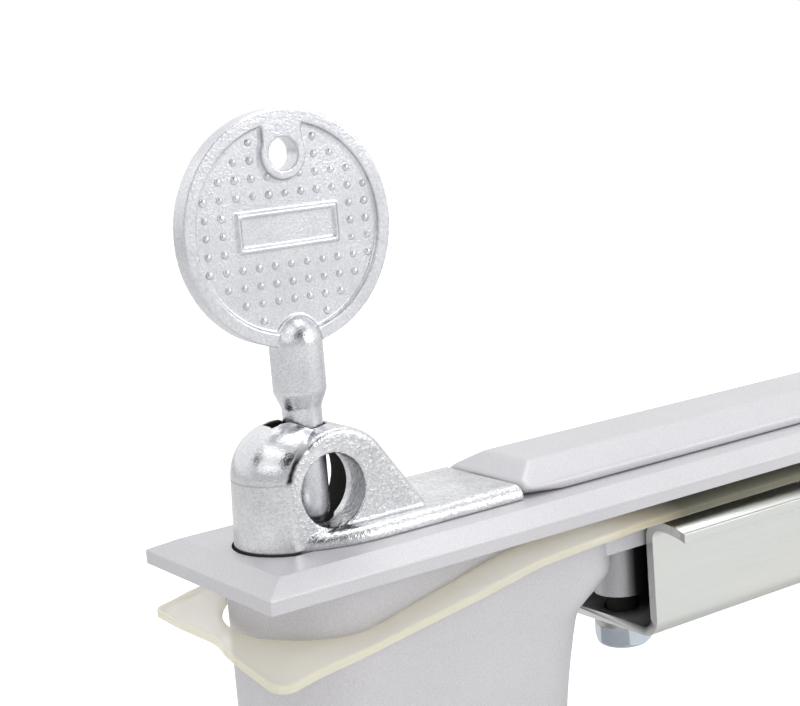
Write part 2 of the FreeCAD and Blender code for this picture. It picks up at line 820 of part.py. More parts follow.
def make_handle():
    """A low bar with chamfered sides and tip, a slot for the bolt, pockets and a forked heel."""
    tip = tail_end + handle_gap
    heel_r = handle_top - hinge_z
    side = outline_yz(
        [
            (-handle_half, handle_under),
            (handle_half, handle_under),
            (handle_half, handle_under + handle_side),
            (handle_face_half, handle_top),
            (-handle_face_half, handle_top),
            (-handle_half, handle_under + handle_side),
        ],
        tip,
        hinge_x + heel_r,
    )
    upper = [e for e in side.Edges if e.BoundBox.YLength < 1e-6 and e.BoundBox.ZLength < 1e-6]
    upper = [e for e in upper if e.BoundBox.ZMin > up(handle_under + handle_side) - 1e-6]
    side = side.makeFillet(handle_round, upper)
    k = math.sqrt(0.5)
    y0 = -handle_half
    edges = [
        line(point(tip, y0, handle_under), point(tip, y0, tip_chamfer_z)),
        line(point(tip, y0, tip_chamfer_z), point(tip_face_x, y0, handle_top)),
        line(point(tip_face_x, y0, handle_top), point(hinge_x, y0, handle_top)),
        arc(
            point(hinge_x, y0, handle_top),
            point(hinge_x + heel_r, y0, hinge_z),
            point(hinge_x + heel_r * k, y0, hinge_z - heel_r * k),
        ),
        line(
            point(hinge_x + heel_r * k, y0, hinge_z - heel_r * k),
            point(hinge_x - heel_r, y0, handle_under),
        ),
        line(point(hinge_x - heel_r, y0, handle_under), point(tip, y0, handle_under)),
    ]
    profile = Part.Face(Part.Wire(edges)).extrude(FreeCAD.Vector(0, 2 * handle_half, 0))
    handle = side.common(profile)
    tip_uprights = []
    for e in handle.Edges:
        box = e.BoundBox
        if box.XLength < 1e-6 and box.YLength < 1e-6 and abs(box.XMin - at(tip)) < 1e-6:
            tip_uprights.append(e)
    handle = handle.makeFillet(tip_corner, tip_uprights)
    cuts = []
    # Finger relief under both long edges at the tip
    for s in (-1, 1):
        corners = [
            point(tip, s * handle_half, handle_under),
            point(tip, s * (handle_half - relief_depth), handle_under),
            point(tip, s * handle_half, handle_under + relief_height),
        ]
        end = [
            point(tip + relief_length, s * handle_half, handle_under),
            point(tip + relief_length, s * (handle_half - easy), handle_under),
            point(tip + relief_length, s * handle_half, handle_under + slide_gap),
        ]
        wires = [Part.makePolygon(c + c[:1]) for c in (corners, end)]
        cuts.append(Part.makeLoft(wires, True, True))
    # Slot for the locking bolt's nose
    slot_end = nose_end + throw + handle_gap
    floor, roof = nose_bottom - slide_gap, bar_top + slide_gap
    cuts.append(block(tip, slot_end, -nose_half - easy, nose_half + easy, floor, roof))
    # Pockets from below, between ribs
    run = (pocket_end - pocket_start - pocket_rib * (pocket_count - 1)) / pocket_count
    for n in range(pocket_count):
        x0 = pocket_start + n * (run + pocket_rib)
        half = handle_half - handle_wall
        cuts.append(rounded_block(x0, x0 + run, half, 1.5, handle_under, handle_top - handle_roof))
    # Fork round the lug, and the hinge pin's hole
    fork = lug_half + easy
    cuts.append(block(hinge_x - heel_r - easy, hinge_x + heel_r, -fork, fork, handle_under - 1, handle_top))
    reach = hinge_pin_half + easy
    cuts.append(across(hinge_x, hinge_z, -reach, reach, hinge_pin_r + running))
    return handle.cut(cuts).removeSplitter()


def make_hinge_pin():
    pin = across(hinge_x, hinge_z, -hinge_pin_half, hinge_pin_half, hinge_pin_r)
    return pin.makeChamfer(0.15, [e for e in pin.Edges if e.Closed and e.BoundBox.YLength < 1e-6])


def make_spindle():
    """Disc with a hinge lug, round shaft with two grooves, and a square end with a tapped hole."""
    disc_low = face - recess_depth + slide_gap / 2
    disc = upright(spindle_x, 0, disc_low, disc_low + disc_thickness, disc_r)
    lug_r = handle_top - hinge_z - 0.25
    lug = block(hinge_x - lug_r, hinge_x + lug_r, -lug_half, lug_half, disc_low, hinge_z)
    lug = lug.common(upright(spindle_x, 0, disc_low, hinge_z, disc_r))
    lug = lug.fuse(across(hinge_x, hinge_z, -lug_half, lug_half, lug_r))
    shaft = upright(spindle_x, 0, -shoulder_z, disc_low, spindle_r)
    square = block(
        spindle_x - square_half, spindle_x + square_half, -square_half, square_half, -square_end, -shoulder_z
    )
    cuts = [across(hinge_x, hinge_z, -lug_half, lug_half, hinge_pin_r + running / 2)]
    clip_top = -boss_end - washer_thickness - slide_gap
    clip_low = clip_top - circlip_thickness - slide_gap
    cuts.append(ring(spindle_x, 0, clip_low, clip_top, circlip_groove_r, spindle_r + 1))
    groove_half = ring_minor + slide_gap
    ring_r = spindle_r - 2 * ring_minor
    cuts.append(ring(spindle_x, 0, -ring_z - groove_half, -ring_z + groove_half, ring_r, spindle_r + 1))
    cuts.append(upright(spindle_x, 0, -square_end, -square_end + cam_screw_grip + 1, cam_screw_r + running))
    return disc.fuse([lug, shaft, square]).cut(cuts).removeSplitter()


def make_spindle_bush():
    return ring(spindle_x, 0, -boss_end, face - recess_depth, spindle_r + running, bush_r)


def make_o_ring():
    return Part.makeTorus(spindle_r - ring_minor, ring_minor, point(spindle_x, 0, -ring_z))


def make_thrust_washer():
    top = -boss_end - slide_gap / 2
    return ring(spindle_x, 0, top - washer_thickness, top, spindle_r + running, washer_r)


def make_circlip():
    top = -boss_end - washer_thickness - slide_gap
    low = top - circlip_thickness
    clip = ring(spindle_x, 0, low, top, circlip_groove_r + running, circlip_r)
    gap = block(spindle_x, spindle_x + circlip_r + 1, -circlip_opening / 2, circlip_opening / 2, low, top)
    return clip.cut(gap)


def make_cam():
    """Drive cam for two rods: an oval plate with a square hole and a rod hole at each end."""
    low = -shoulder_z - cam_thickness
    top = -shoulder_z
    middle = rounded_block(spindle_x - cam_half, spindle_x + cam_half, cam_reach, cam_half - 0.6, low, top)
    cuts = [
        block(
            spindle_x - square_half - running,
            spindle_x + square_half + running,
            -square_half - running,
            square_half + running,
            low,
            top,
        )
    ]
    cuts += [upright(spindle_x, y, low, top, rod_hole_r) for y in (-rod_hole_y, rod_hole_y)]
    return middle.cut(cuts)


def make_lock_washer():
    top = -shoulder_z - cam_thickness
    return ring(spindle_x, 0, top - lock_washer_thickness, top, cam_screw_r + easy, lock_washer_r)


def make_cam_screw():
    seat = -shoulder_z - cam_thickness - lock_washer_thickness
    length = -square_end + cam_screw_grip - seat
    return hex_screw(spindle_x, 0, seat, length, cam_screw_r, cam_screw_flats, cam_screw_head)


def gasket_section(x, near_outer, near_inner, far, near_edge, far_edge):
    """One cross-section of the drooping sheet, as a closed four-point-a-side outline."""
    inner = -box_half - gasket_side_gap
    top = [(near_edge, -near_outer), (inner, -near_inner), (-inner, -far), (far_edge, -far)]
    low = [(y, z - gasket_thickness) for y, z in reversed(top)]
    corners = [point(x, y, z) for y, z in top + low]
    return Part.makePolygon(corners + corners[:1])


def make_gasket():
    """Silicone gasket: flat under the far edge and the handle's end, drooping at the lock end."""
    half = plate_width / 2
    wide = half + 1
    left = [gasket_section(x, a, b, c, -wide, wide) for x, a, b, c in gasket_stations]
    sheet_left = Part.makeLoft(left, True, False)
    near = []
    for x, a, b in gasket_near_end:
        inner = -box_half - gasket_side_gap
        top = [(-wide, -a), (inner, -b), (inner + 1, -b)]
        low = [(y, z - gasket_thickness) for y, z in reversed(top)]
        corners = [point(x, y, z) for y, z in top + low]
        near.append(Part.makePolygon(corners + corners[:1]))
    sheet_near = Part.makeLoft(near, True, True)
    flat_far = block(gasket_rise_x, plate_length, 0, wide, -gasket_thickness, 0)
    flat_end = block(gasket_flat_x, plate_length, -wide, 0, -gasket_thickness, 0)
    sheets = sheet_left.fuse([sheet_near, flat_far, flat_end])
    outline = rounded_block(0, plate_length, half, gasket_corner, -2 * box_half, box_half)
    hole_half = box_half + gasket_side_gap
    hole_left = key_x - box_half - gasket_gap
    hole_right = skirt_end + gasket_side_gap
    hole = rounded_block(hole_left, hole_right - hole_half, hole_half, hole_half, -2 * box_half, box_half)
    hole_end = rounded_block(hole_right / 2, hole_right, hole_half, gasket_corner, -2 * box_half, box_half)
    hole = hole.fuse(hole_end).removeSplitter()
    return sheets.common(outline.cut(hole)).removeSplitter()


def write(name, shape):
    """Writes one node, from one shape or from a list of separate solids."""
    if isinstance(shape, list):
        shape = Part.makeCompound(shape)
    solids = shape.Solids
    volume = sum(s.Volume for s in solids)
    if not solids or not shape.isValid():
        raise ValueError(f"{name} has no valid solid")
    print(f"{name:16s} solids {len(solids)}  valid {shape.isValid()}  volume {volume:9.1f} mm3")
    shape.exportStep(f"parts/{name}.step")


def main():
    os.makedirs("parts", exist_ok=True)
    write("housing", make_housing())
    write("lock_head", make_lock_head())
    write("head_screws", make_head_screws())
    write("head_washers", make_head_washers())
    write("key", make_key())
    write("key_rotor", make_key_rotor())
    write("locking_bolt", make_locking_bolt())
    write("guide_plate", make_guide_plate())
    write("guide_screws", make_guide_screws())
    write("box_cover", make_box_cover())
    write("cover_screws", make_cover_screws())
    write("clamp_bracket", make_bracket())
    write("bracket_bolts", make_bracket_bolts())
    write("bolt_washers", make_bolt_washers())
    write("handle", make_handle())
    write("hinge_pin", make_hinge_pin())
    write("spindle", make_spindle())
    write("spindle_bush", make_spindle_bush())
    write("o_ring", make_o_ring())
    write("thrust_washer", make_thrust_washer())
    write("circlip", make_circlip())
    write("rod_cam", make_cam())
    write("lock_washer", make_lock_washer())
    write("cam_screw", make_cam_screw())
    write("gasket", make_gasket())


main()
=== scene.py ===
"""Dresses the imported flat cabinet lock: finishes, sagging gasket, key and head castings, studio."""

import logging
import math
from contextlib import contextmanager
from dataclasses import dataclass, replace
from enum import Enum
from typing import Any, Callable, Iterable, Iterator, Sequence

import bpy
import bmesh
from mathutils import Matrix, Vector, noise


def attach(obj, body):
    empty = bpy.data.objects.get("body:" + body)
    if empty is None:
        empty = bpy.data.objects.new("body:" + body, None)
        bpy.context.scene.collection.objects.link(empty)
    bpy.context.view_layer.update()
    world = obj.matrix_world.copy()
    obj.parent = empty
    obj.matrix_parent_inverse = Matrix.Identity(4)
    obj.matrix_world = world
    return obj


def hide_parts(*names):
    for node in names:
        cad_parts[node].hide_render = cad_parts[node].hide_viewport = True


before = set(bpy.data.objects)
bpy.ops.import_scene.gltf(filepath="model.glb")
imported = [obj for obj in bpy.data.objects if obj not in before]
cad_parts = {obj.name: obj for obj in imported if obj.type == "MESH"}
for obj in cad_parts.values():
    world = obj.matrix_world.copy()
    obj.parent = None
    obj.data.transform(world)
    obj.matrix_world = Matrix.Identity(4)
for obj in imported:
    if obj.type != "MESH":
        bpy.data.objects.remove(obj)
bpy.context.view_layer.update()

LOG = logging.getLogger("cabinet_lock")
MM = 0.001
LOCK_END_X = -78.5
UNDERSIDE_Z = 1.0
WHITE = (1.0, 1.0, 1.0, 1.0)

Colour = tuple[float, float, float, float]
Spot = tuple[float, float, float]
Profile = tuple[tuple[float, float], ...]
Node = bpy.types.Node
Socket = bpy.types.NodeSocket
Tree = bpy.types.NodeTree
Mesh = bpy.types.Mesh
Material = bpy.types.Material
Piece = bpy.types.Object


def plate_point(x: float, y: float, z: float) -> Vector:
    """Turns mm from the plate's lock end and underside into the frame's metres."""
    return Vector(((x + LOCK_END_X) * MM, y * MM, (z + UNDERSIDE_Z) * MM))


def plate_place(co: Vector) -> Spot:
    """Turns the frame's metres back into mm from the plate's lock end and underside."""
    return co.x / MM - LOCK_END_X, co.y / MM, co.z / MM - UNDERSIDE_Z


def held(value: float) -> float:
    """Holds a share between 0 and 1."""
    return max(0.0, min(1.0, value))


# ------------------------------------------------------------------ node helpers


class SocketKind(Enum):
    """The kinds of socket that the shader and geometry groups use."""

    NUMBER = "NodeSocketFloat"
    WHOLE = "NodeSocketInt"
    VECTOR = "NodeSocketVector"
    GEOMETRY = "NodeSocketGeometry"
    MATERIAL = "NodeSocketMaterial"


class Bench:
    """Adds and links nodes in one tree with few words."""

    in_row: int = 10
    step: tuple[int, int] = (190, 260)

    def __init__(self, tree: Tree) -> None:
        """Takes the tree that the nodes go into."""
        self.tree = tree
        self.count = 0

    def add(self, kind: str, inputs: dict[Any, Any] | None = None, **settings: Any) -> Node:
        """Adds one node.

        Args:
            kind: Blender's type name of the node.
            inputs: Values or output sockets for its inputs, by name or number.
            settings: Attributes to set on the node.

        Returns:
            The new node.
        """
        node = self.tree.nodes.new(kind)
        for name, value in settings.items():
            setattr(node, name, value)
        for key, value in (inputs or {}).items():
            if isinstance(value, Socket):
                self.link(value, node.inputs[key])
            else:
                node.inputs[key].default_value = value
        row, column = divmod(self.count, self.in_row)
        node.location = (column * self.step[0], -row * self.step[1])
        self.count += 1
        return node

    def link(self, start: Socket, end: Socket) -> None:
        """Links two sockets."""
        self.tree.links.new(start, end)

    def math(self, operation: str, a: Any, b: Any = 0.0) -> Socket:
        """Adds a Math node, which works on values or sockets, and gives its result."""
        return self.add("ShaderNodeMath", {0: a, 1: b}, operation=operation).outputs[0]

    def product(self, *factors: Any) -> Socket:
        """Multiplies values or sockets.

        Args:
            factors: Two or more values or sockets.

        Returns:
            The product's socket.
        """
        result = factors[0]
        for factor in factors[1:]:
            result = self.math("MULTIPLY", result, factor)
        return result

    def length(self, x: Socket, y: Socket) -> Socket:
        """Works out how long a flat vector is."""
        return self.math("SQRT", self.math("ADD", self.product(x, x), self.product(y, y)))

    def mix(self, factor: Any, a: Any, b: Any, blend: str = "MIX") -> Socket:
        """Adds a colour Mix node.

        Args:
            factor: Share of the second colour.
            a: First colour or socket.
            b: Second colour or socket.
            blend: How the second colour goes on the first.

        Returns:
            The mixed colour's socket.
        """
        inputs = {0: factor, 6: a, 7: b}
        return self.add("ShaderNodeMix", inputs, data_type="RGBA", blend_type=blend).outputs[2]

    def spread(
        self, value: Any, low: Any, high: Any, to_low: Any = 0.0, to_high: Any = 1.0
    ) -> Socket:
        """Adds a Map Range node.

        Args:
            value: The value or socket to map.
            low: Start of its own range.
            high: End of its own range.
            to_low: Start of the new range.
            to_high: End of the new range.

        Returns:
            The mapped value's socket.
        """
        inputs = {0: value, 1: low, 2: high, 3: to_low, 4: to_high}
        return self.add("ShaderNodeMapRange", inputs, clamp=True).outputs[0]

    def blend(self, share: Any, low: Any, high: Any) -> Socket:
        """Goes from one value to another as a share goes from 0 to 1."""
        return self.spread(share, 0.0, 1.0, low, high)

    def noise(self, place: Any, scale: Any, detail: float, roughness: float) -> Socket:
        """Adds a Noise texture.

        Args:
            place: The coordinates' socket.
            scale: The pattern's scale, a value or a socket.
            detail: How many finer layers it has.
            roughness: How strong they are.

        Returns:
            The socket of its height.
        """
        inputs = {"Vector": place, "Scale": scale, "Detail": detail, "Roughness": roughness}
        return self.add("ShaderNodeTexNoise", inputs).outputs["Fac"]

    def group(self, tree: Tree, values: dict[str, Any]) -> Any:
        """Places a shared group with its own values and gives its outputs."""
        return self.add("ShaderNodeGroup", values, node_tree=tree).outputs

    def stored(self, name: str) -> Socket:
        """Reads a number that is stored on the mesh's points."""
        return self.add("ShaderNodeAttribute", attribute_name=name).outputs["Fac"]

    def split(self, vector: Any) -> Any:
        """Splits a vector and gives the sockets of its x, y and z."""
        return self.add("ShaderNodeSeparateXYZ", {0: vector}).outputs

    def along(self, vector: Any, heading: Spot) -> Socket:
        """Measures a vector along a fixed heading."""
        node = self.add("ShaderNodeVectorMath", {0: vector, 1: heading}, operation="DOT_PRODUCT")
        return node.outputs["Value"]

    def choose(self, factor: Any, a: Socket, b: Socket) -> Socket:
        """Adds a Mix Shader node between two shaders' sockets."""
        return self.add("ShaderNodeMixShader", {0: factor, 1: a, 2: b}).outputs[0]

    def seen(self) -> tuple[Socket, Socket]:
        """Tells what kind of ray meets a surface.

        Returns:
            The sockets for rays from the camera, also through clear pieces, and for mirrored rays.
        """
        path = self.add("ShaderNodeLightPath").outputs
        direct = self.math("MAXIMUM", path["Is Camera Ray"], path["Is Transmission Ray"])
        return direct, path["Is Glossy Ray"]


def open_group(
    name: str,
    inputs: Sequence[tuple[str, SocketKind, Any]],
    outputs: Sequence[str],
) -> tuple[Tree, Bench, Any, Any]:
    """Makes an empty shader node group with named sockets.

    Args:
        name: The group's name.
        inputs: Name, kind and default value of each input.
        outputs: Name of each output, all of them numbers.

    Returns:
        The tree, a bench for it, what goes into it and what comes out of it.
    """
    tree = bpy.data.node_groups.new(name, "ShaderNodeTree")
    for label, kind, value in inputs:
        socket = tree.interface.new_socket(label, in_out="INPUT", socket_type=kind.value)
        if value is not None:
            socket.default_value = value
    for label in outputs:
        number = SocketKind.NUMBER.value
        tree.interface.new_socket(label, in_out="OUTPUT", socket_type=number)
    bench = Bench(tree)
    return tree, bench, bench.add("NodeGroupInput").outputs, bench.add("NodeGroupOutput").inputs


class SurfaceEffects:
    """The node groups that several finishes share."""

    def __init__(self) -> None:
        """Builds each group once."""
        self.cast_skin = self.make_cast_skin()
        self.dust = self.make_dust()
        self.drawn_grain = self.make_drawn_grain()

    @staticmethod
    def make_cast_skin() -> Tree:
        """Builds the skin of a casting: broad cloudiness, orange peel and fine grain.

        Returns:
            The group. It puts out Height, Mottle and Sparkle.
        """
        tree, bench, given, out = open_group(
            "cast_skin",
            (
                ("Vector", SocketKind.VECTOR, None),
                ("Cloud Scale", SocketKind.NUMBER, 60.0),
                ("Peel Scale", SocketKind.NUMBER, 900.0),
                ("Grain Scale", SocketKind.NUMBER, 3500.0),
                ("Grain Share", SocketKind.NUMBER, 0.4),
            ),
            ("Height", "Mottle", "Sparkle"),
        )
        place = given["Vector"]
        cloud = bench.noise(place, given["Cloud Scale"], detail=4.0, roughness=0.55)
        peel = bench.noise(place, given["Peel Scale"], detail=2.0, roughness=0.5)
        grain = bench.noise(place, given["Grain Scale"], detail=3.0, roughness=0.7)
        height = bench.math("ADD", peel, bench.product(grain, given["Grain Share"]))
        bench.link(height, out["Height"])
        bench.link(bench.spread(cloud, low=0.3, high=0.7), out["Mottle"])
        bench.link(bench.spread(grain, low=0.35, high=0.68), out["Sparkle"])
        return tree

    @staticmethod
    def make_dust() -> Tree:
        """Builds sparse small specks of dust and handling marks.

        Returns:
            The group. It puts out Mask.
        """
        tree, bench, given, out = open_group(
            "dust_specks",
            (
                ("Vector", SocketKind.VECTOR, None),
                ("Scale", SocketKind.NUMBER, 220.0),
                ("Size", SocketKind.NUMBER, 0.08),
                ("Share", SocketKind.NUMBER, 0.25),
            ),
            ("Mask",),
        )
        cells = bench.add(
            "ShaderNodeTexVoronoi",
            {"Vector": given["Vector"], "Scale": given["Scale"], "Randomness": 1.0},
        )
        chance = bench.add("ShaderNodeSeparateColor", {0: cells.outputs["Color"]}).outputs
        some = bench.math("LESS_THAN", chance[0], given["Share"])
        size = bench.product(given["Size"], chance[1])
        near = bench.math("LESS_THAN", cells.outputs["Distance"], size)
        bench.link(bench.product(some, near), out["Mask"])
        return tree

    @staticmethod
    def make_drawn_grain() -> Tree:
        """Builds the drawn-out grain of rolled sheet or a turned surface.

        Returns:
            The group. It puts out Height and Streak.
        """
        tree, bench, given, out = open_group(
            "drawn_grain",
            (
                ("Vector", SocketKind.VECTOR, None),
                ("Stretch", SocketKind.VECTOR, (1.0, 14.0, 14.0)),
                ("Scale", SocketKind.NUMBER, 140.0),
            ),
            ("Height", "Streak"),
        )
        drawn = bench.add(
            "ShaderNodeVectorMath", {0: given["Vector"], 1: given["Stretch"]}, operation="MULTIPLY"
        )
        lines = bench.noise(drawn.outputs[0], given["Scale"], detail=5.0, roughness=0.65)
        bench.link(lines, out["Height"])
        bench.link(bench.spread(lines, low=0.3, high=0.7), out["Streak"])
        return tree


# ------------------------------------------------------------------ finishes


# Painted shade: the near-black colour and matt roughness that finishes mix in where shade falls
# inside the bracket and in the head's hollows.
PAINTED_SHADE_COLOUR: Colour = (0.03, 0.032, 0.03, 1.0)
PAINTED_SHADE_ROUGHNESS = 0.8


@dataclass(frozen=True)
class Relief:
    """Heights of a finish's bumps."""

    strength: float
    depth_mm: float


@dataclass(frozen=True)
class PaintedShadeZone:
    """A part of the lock, in the frame's mm, whose surfaces get painted shade: their colour turns
    near black where the bracket shades them.
    """

    start_x: float
    half_y: float
    low_z: float
    top_z: float
    fade: float
    past_bolt: float
    # The heading runs across the boss, and the painted shadow's edge falls across it at past_bolt.
    heading: Spot = (0.826, -0.563, 0.0)
    heading_fade: float = 2.2

    def mask(self, bench: Bench, place: Socket) -> Socket:
        """Works out how deep a place lies in the zone.

        Args:
            bench: The tree's bench.
            place: The object coordinates.

        Returns:
            The socket of the share, 0 to 1.
        """
        x, y, z = bench.split(place)
        behind = bench.spread(x, self.start_x * MM, (self.start_x + self.fade) * MM)
        below = bench.spread(z, self.top_z * MM, (self.top_z - self.fade) * MM)
        between = bench.math("LESS_THAN", bench.math("ABSOLUTE", y), self.half_y * MM)
        above = bench.math("GREATER_THAN", z, self.low_z * MM)
        past_end = self.past_bolt + self.heading_fade * self.fade
        far = bench.along(place, self.heading)
        past = bench.spread(far, self.past_bolt * MM, past_end * MM)
        return bench.product(behind, below, between, above, past)


@dataclass
class Surface:
    """A material in the making: its tree, its shader and what feeds the shader."""

    material: Material
    bench: Bench
    shader: Node
    place: Socket
    out: Socket
    tone: Any = None
    rough: Any = None

    @classmethod
    def start(cls, name: str) -> "Surface":
        """Starts a material with its Principled shader.

        Args:
            name: The material's name.

        Returns:
            The surface.
        """
        material = bpy.data.materials.new(name)
        material.use_nodes = True
        material.node_tree.nodes.clear()
        bench = Bench(material.node_tree)
        out = bench.add("ShaderNodeOutputMaterial").inputs["Surface"]
        shader = bench.add("ShaderNodeBsdfPrincipled")
        bench.link(shader.outputs["BSDF"], out)
        place = bench.add("ShaderNodeTexCoord").outputs["Object"]
        return cls(material, bench, shader, place, out)

    def add_dust(
        self,
        effects: SurfaceEffects,
        scale: float,
        size: float,
        share: float,
        cover: float,
        colour: Colour,
    ) -> None:
        """Scatters specks of dust over the tone.

        Args:
            effects: The shared node groups.
            scale: How close the specks lie.
            size: Their size, as a share of their distance.
            share: How many of the places hold one.
            cover: How much of the tone a speck covers.
            colour: The specks' colour.
        """
        values = {"Vector": self.place, "Scale": scale, "Size": size, "Share": share}
        dust = self.bench.group(effects.dust, values)
        self.tone = self.bench.mix(self.bench.product(dust["Mask"], cover), self.tone, colour)

    def paint_shade(self, share: Socket, colour: Colour, metallic: float) -> None:
        """Paints shade: makes a metal dark and matt where shade falls in a hollow.

        Args:
            share: How deep in the painted shade a place lies, 0 to 1.
            colour: The painted shade's colour.
            metallic: The metal's own value outside.
        """
        self.tone = self.bench.mix(share, self.tone, colour)
        self.rough = self.bench.blend(share, self.rough, PAINTED_SHADE_ROUGHNESS)
        self.bench.link(self.bench.blend(share, metallic, 0.0), self.shader.inputs["Metallic"])
        self.shader.inputs["Specular IOR Level"].default_value = 0.0

    def finish(self, height: Socket, relief: Relief) -> Material:
        """Feeds the tone, the roughness and the bumps into the shader.

        Args:
            height: The height's socket.
            relief: Strength and depth of the bumps.

        Returns:
            The material.
        """
        self.bench.link(self.tone, self.shader.inputs["Base Color"])
        self.bench.link(self.rough, self.shader.inputs["Roughness"])
        values = {"Strength": relief.strength, "Distance": relief.depth_mm * MM, "Height": height}
        bump = self.bench.add("ShaderNodeBump", values)
        self.bench.link(bump.outputs["Normal"], self.shader.inputs["Normal"])
        return self.material


@dataclass(frozen=True)
class CastFinish:
    """A painted or plated casting with mottle, orange peel, grain and a few specks, and where set,
    painted shade.
    """

    name: str
    light: Colour
    dark: Colour
    metallic: float
    rough_low: float
    rough_high: float
    relief: Relief
    cloud: float = 60.0
    peel: float = 900.0
    grain: float = 3500.0
    grain_share: float = 0.4
    sparkle: float = 0.0
    speck_share: float = 0.12
    speck: Colour = (0.12, 0.11, 0.1, 1.0)
    polished_share: float = 0.25
    painted_shade: Colour | None = None
    shade_zone: PaintedShadeZone | None = None

    def make(self, effects: SurfaceEffects) -> Material:
        """Builds the material.

        Args:
            effects: The shared node groups.

        Returns:
            The material.
        """
        surface = Surface.start(self.name)
        bench = surface.bench
        skin = bench.group(effects.cast_skin, {
            "Vector": surface.place,
            "Cloud Scale": self.cloud,
            "Peel Scale": self.peel,
            "Grain Scale": self.grain,
            "Grain Share": self.grain_share,
        })
        surface.tone = bench.mix(skin["Mottle"], self.dark, self.light)
        grain_left = 1.0
        if self.painted_shade is not None:
            grain_left = bench.blend(bench.stored("polish"), 1.0, self.polished_share)
        if self.sparkle > 0:
            glint = bench.product(skin["Sparkle"], self.sparkle, grain_left)
            surface.tone = bench.mix(glint, surface.tone, self.dark, "MULTIPLY")
        surface.add_dust(
            effects, scale=210.0, size=0.07, share=self.speck_share, cover=0.55, colour=self.speck
        )
        surface.rough = bench.blend(skin["Mottle"], self.rough_high, self.rough_low)
        surface.shader.inputs["Metallic"].default_value = self.metallic
        # Painted shade: the stored share turns the head's room, keyhole, foot, seam and valley dark
        # and matt.
        if self.painted_shade is not None:
            surface.paint_shade(bench.stored("painted_shade"), self.painted_shade, self.metallic)
        # Painted shade inside the zone: the housing's boss in the bracket's mouth turns near black.
        if self.shade_zone is not None:
            in_painted_shade = self.shade_zone.mask(bench, surface.place)
            surface.tone = bench.mix(in_painted_shade, surface.tone, PAINTED_SHADE_COLOUR)
        return surface.finish(bench.product(skin["Height"], grain_left), self.relief)


@dataclass(frozen=True)
class SheetFinish:
    """Rolled, drawn or turned metal with streaks and soft patches of passivation, and where set,
    painted shade.
    """

    name: str
    light: Colour
    dark: Colour
    patch: Colour
    rough_low: float
    rough_high: float
    relief: Relief
    stretch: Spot = (1.0, 14.0, 14.0)
    scale: float = 140.0
    patch_share: float = 0.5
    streak_height: float = 0.6
    metallic: float = 1.0
    speck: Colour = (0.2, 0.2, 0.18, 1.0)
    shaded: bool = False
    shade_zone: PaintedShadeZone | None = None

    def make(self, effects: SurfaceEffects) -> Material:
        """Builds the material.

        Args:
            effects: The shared node groups.

        Returns:
            The material.
        """
        surface = Surface.start(self.name)
        bench, place = surface.bench, surface.place
        values: dict[str, Any] = {"Vector": place, "Stretch": self.stretch, "Scale": self.scale}
        grain = bench.group(effects.drawn_grain, values)
        values = {"Vector": place, "Cloud Scale": 48.0, "Peel Scale": 700.0, "Grain Scale": 4200.0}
        skin = bench.group(effects.cast_skin, values)
        tone = bench.mix(grain["Streak"], self.dark, self.light)
        surface.tone = bench.mix(bench.product(skin["Mottle"], self.patch_share), tone, self.patch)
        surface.add_dust(
            effects, scale=260.0, size=0.06, share=0.1, cover=0.4, colour=self.speck
        )
        surface.rough = bench.blend(grain["Streak"], self.rough_low, self.rough_high)
        surface.shader.inputs["Metallic"].default_value = self.metallic
        # Painted shade: the bracket's inner walls from the stored share, or the bolts inside the
        # zone.
        if self.shaded:
            surface.paint_shade(bench.stored("painted_shade"), PAINTED_SHADE_COLOUR, self.metallic)
        elif self.shade_zone is not None:
            surface.paint_shade(self.shade_zone.mask(bench, place), PAINTED_SHADE_COLOUR, self.metallic)
        streaks = bench.product(grain["Height"], self.streak_height)
        return surface.finish(bench.math("ADD", streaks, skin["Height"]), self.relief)


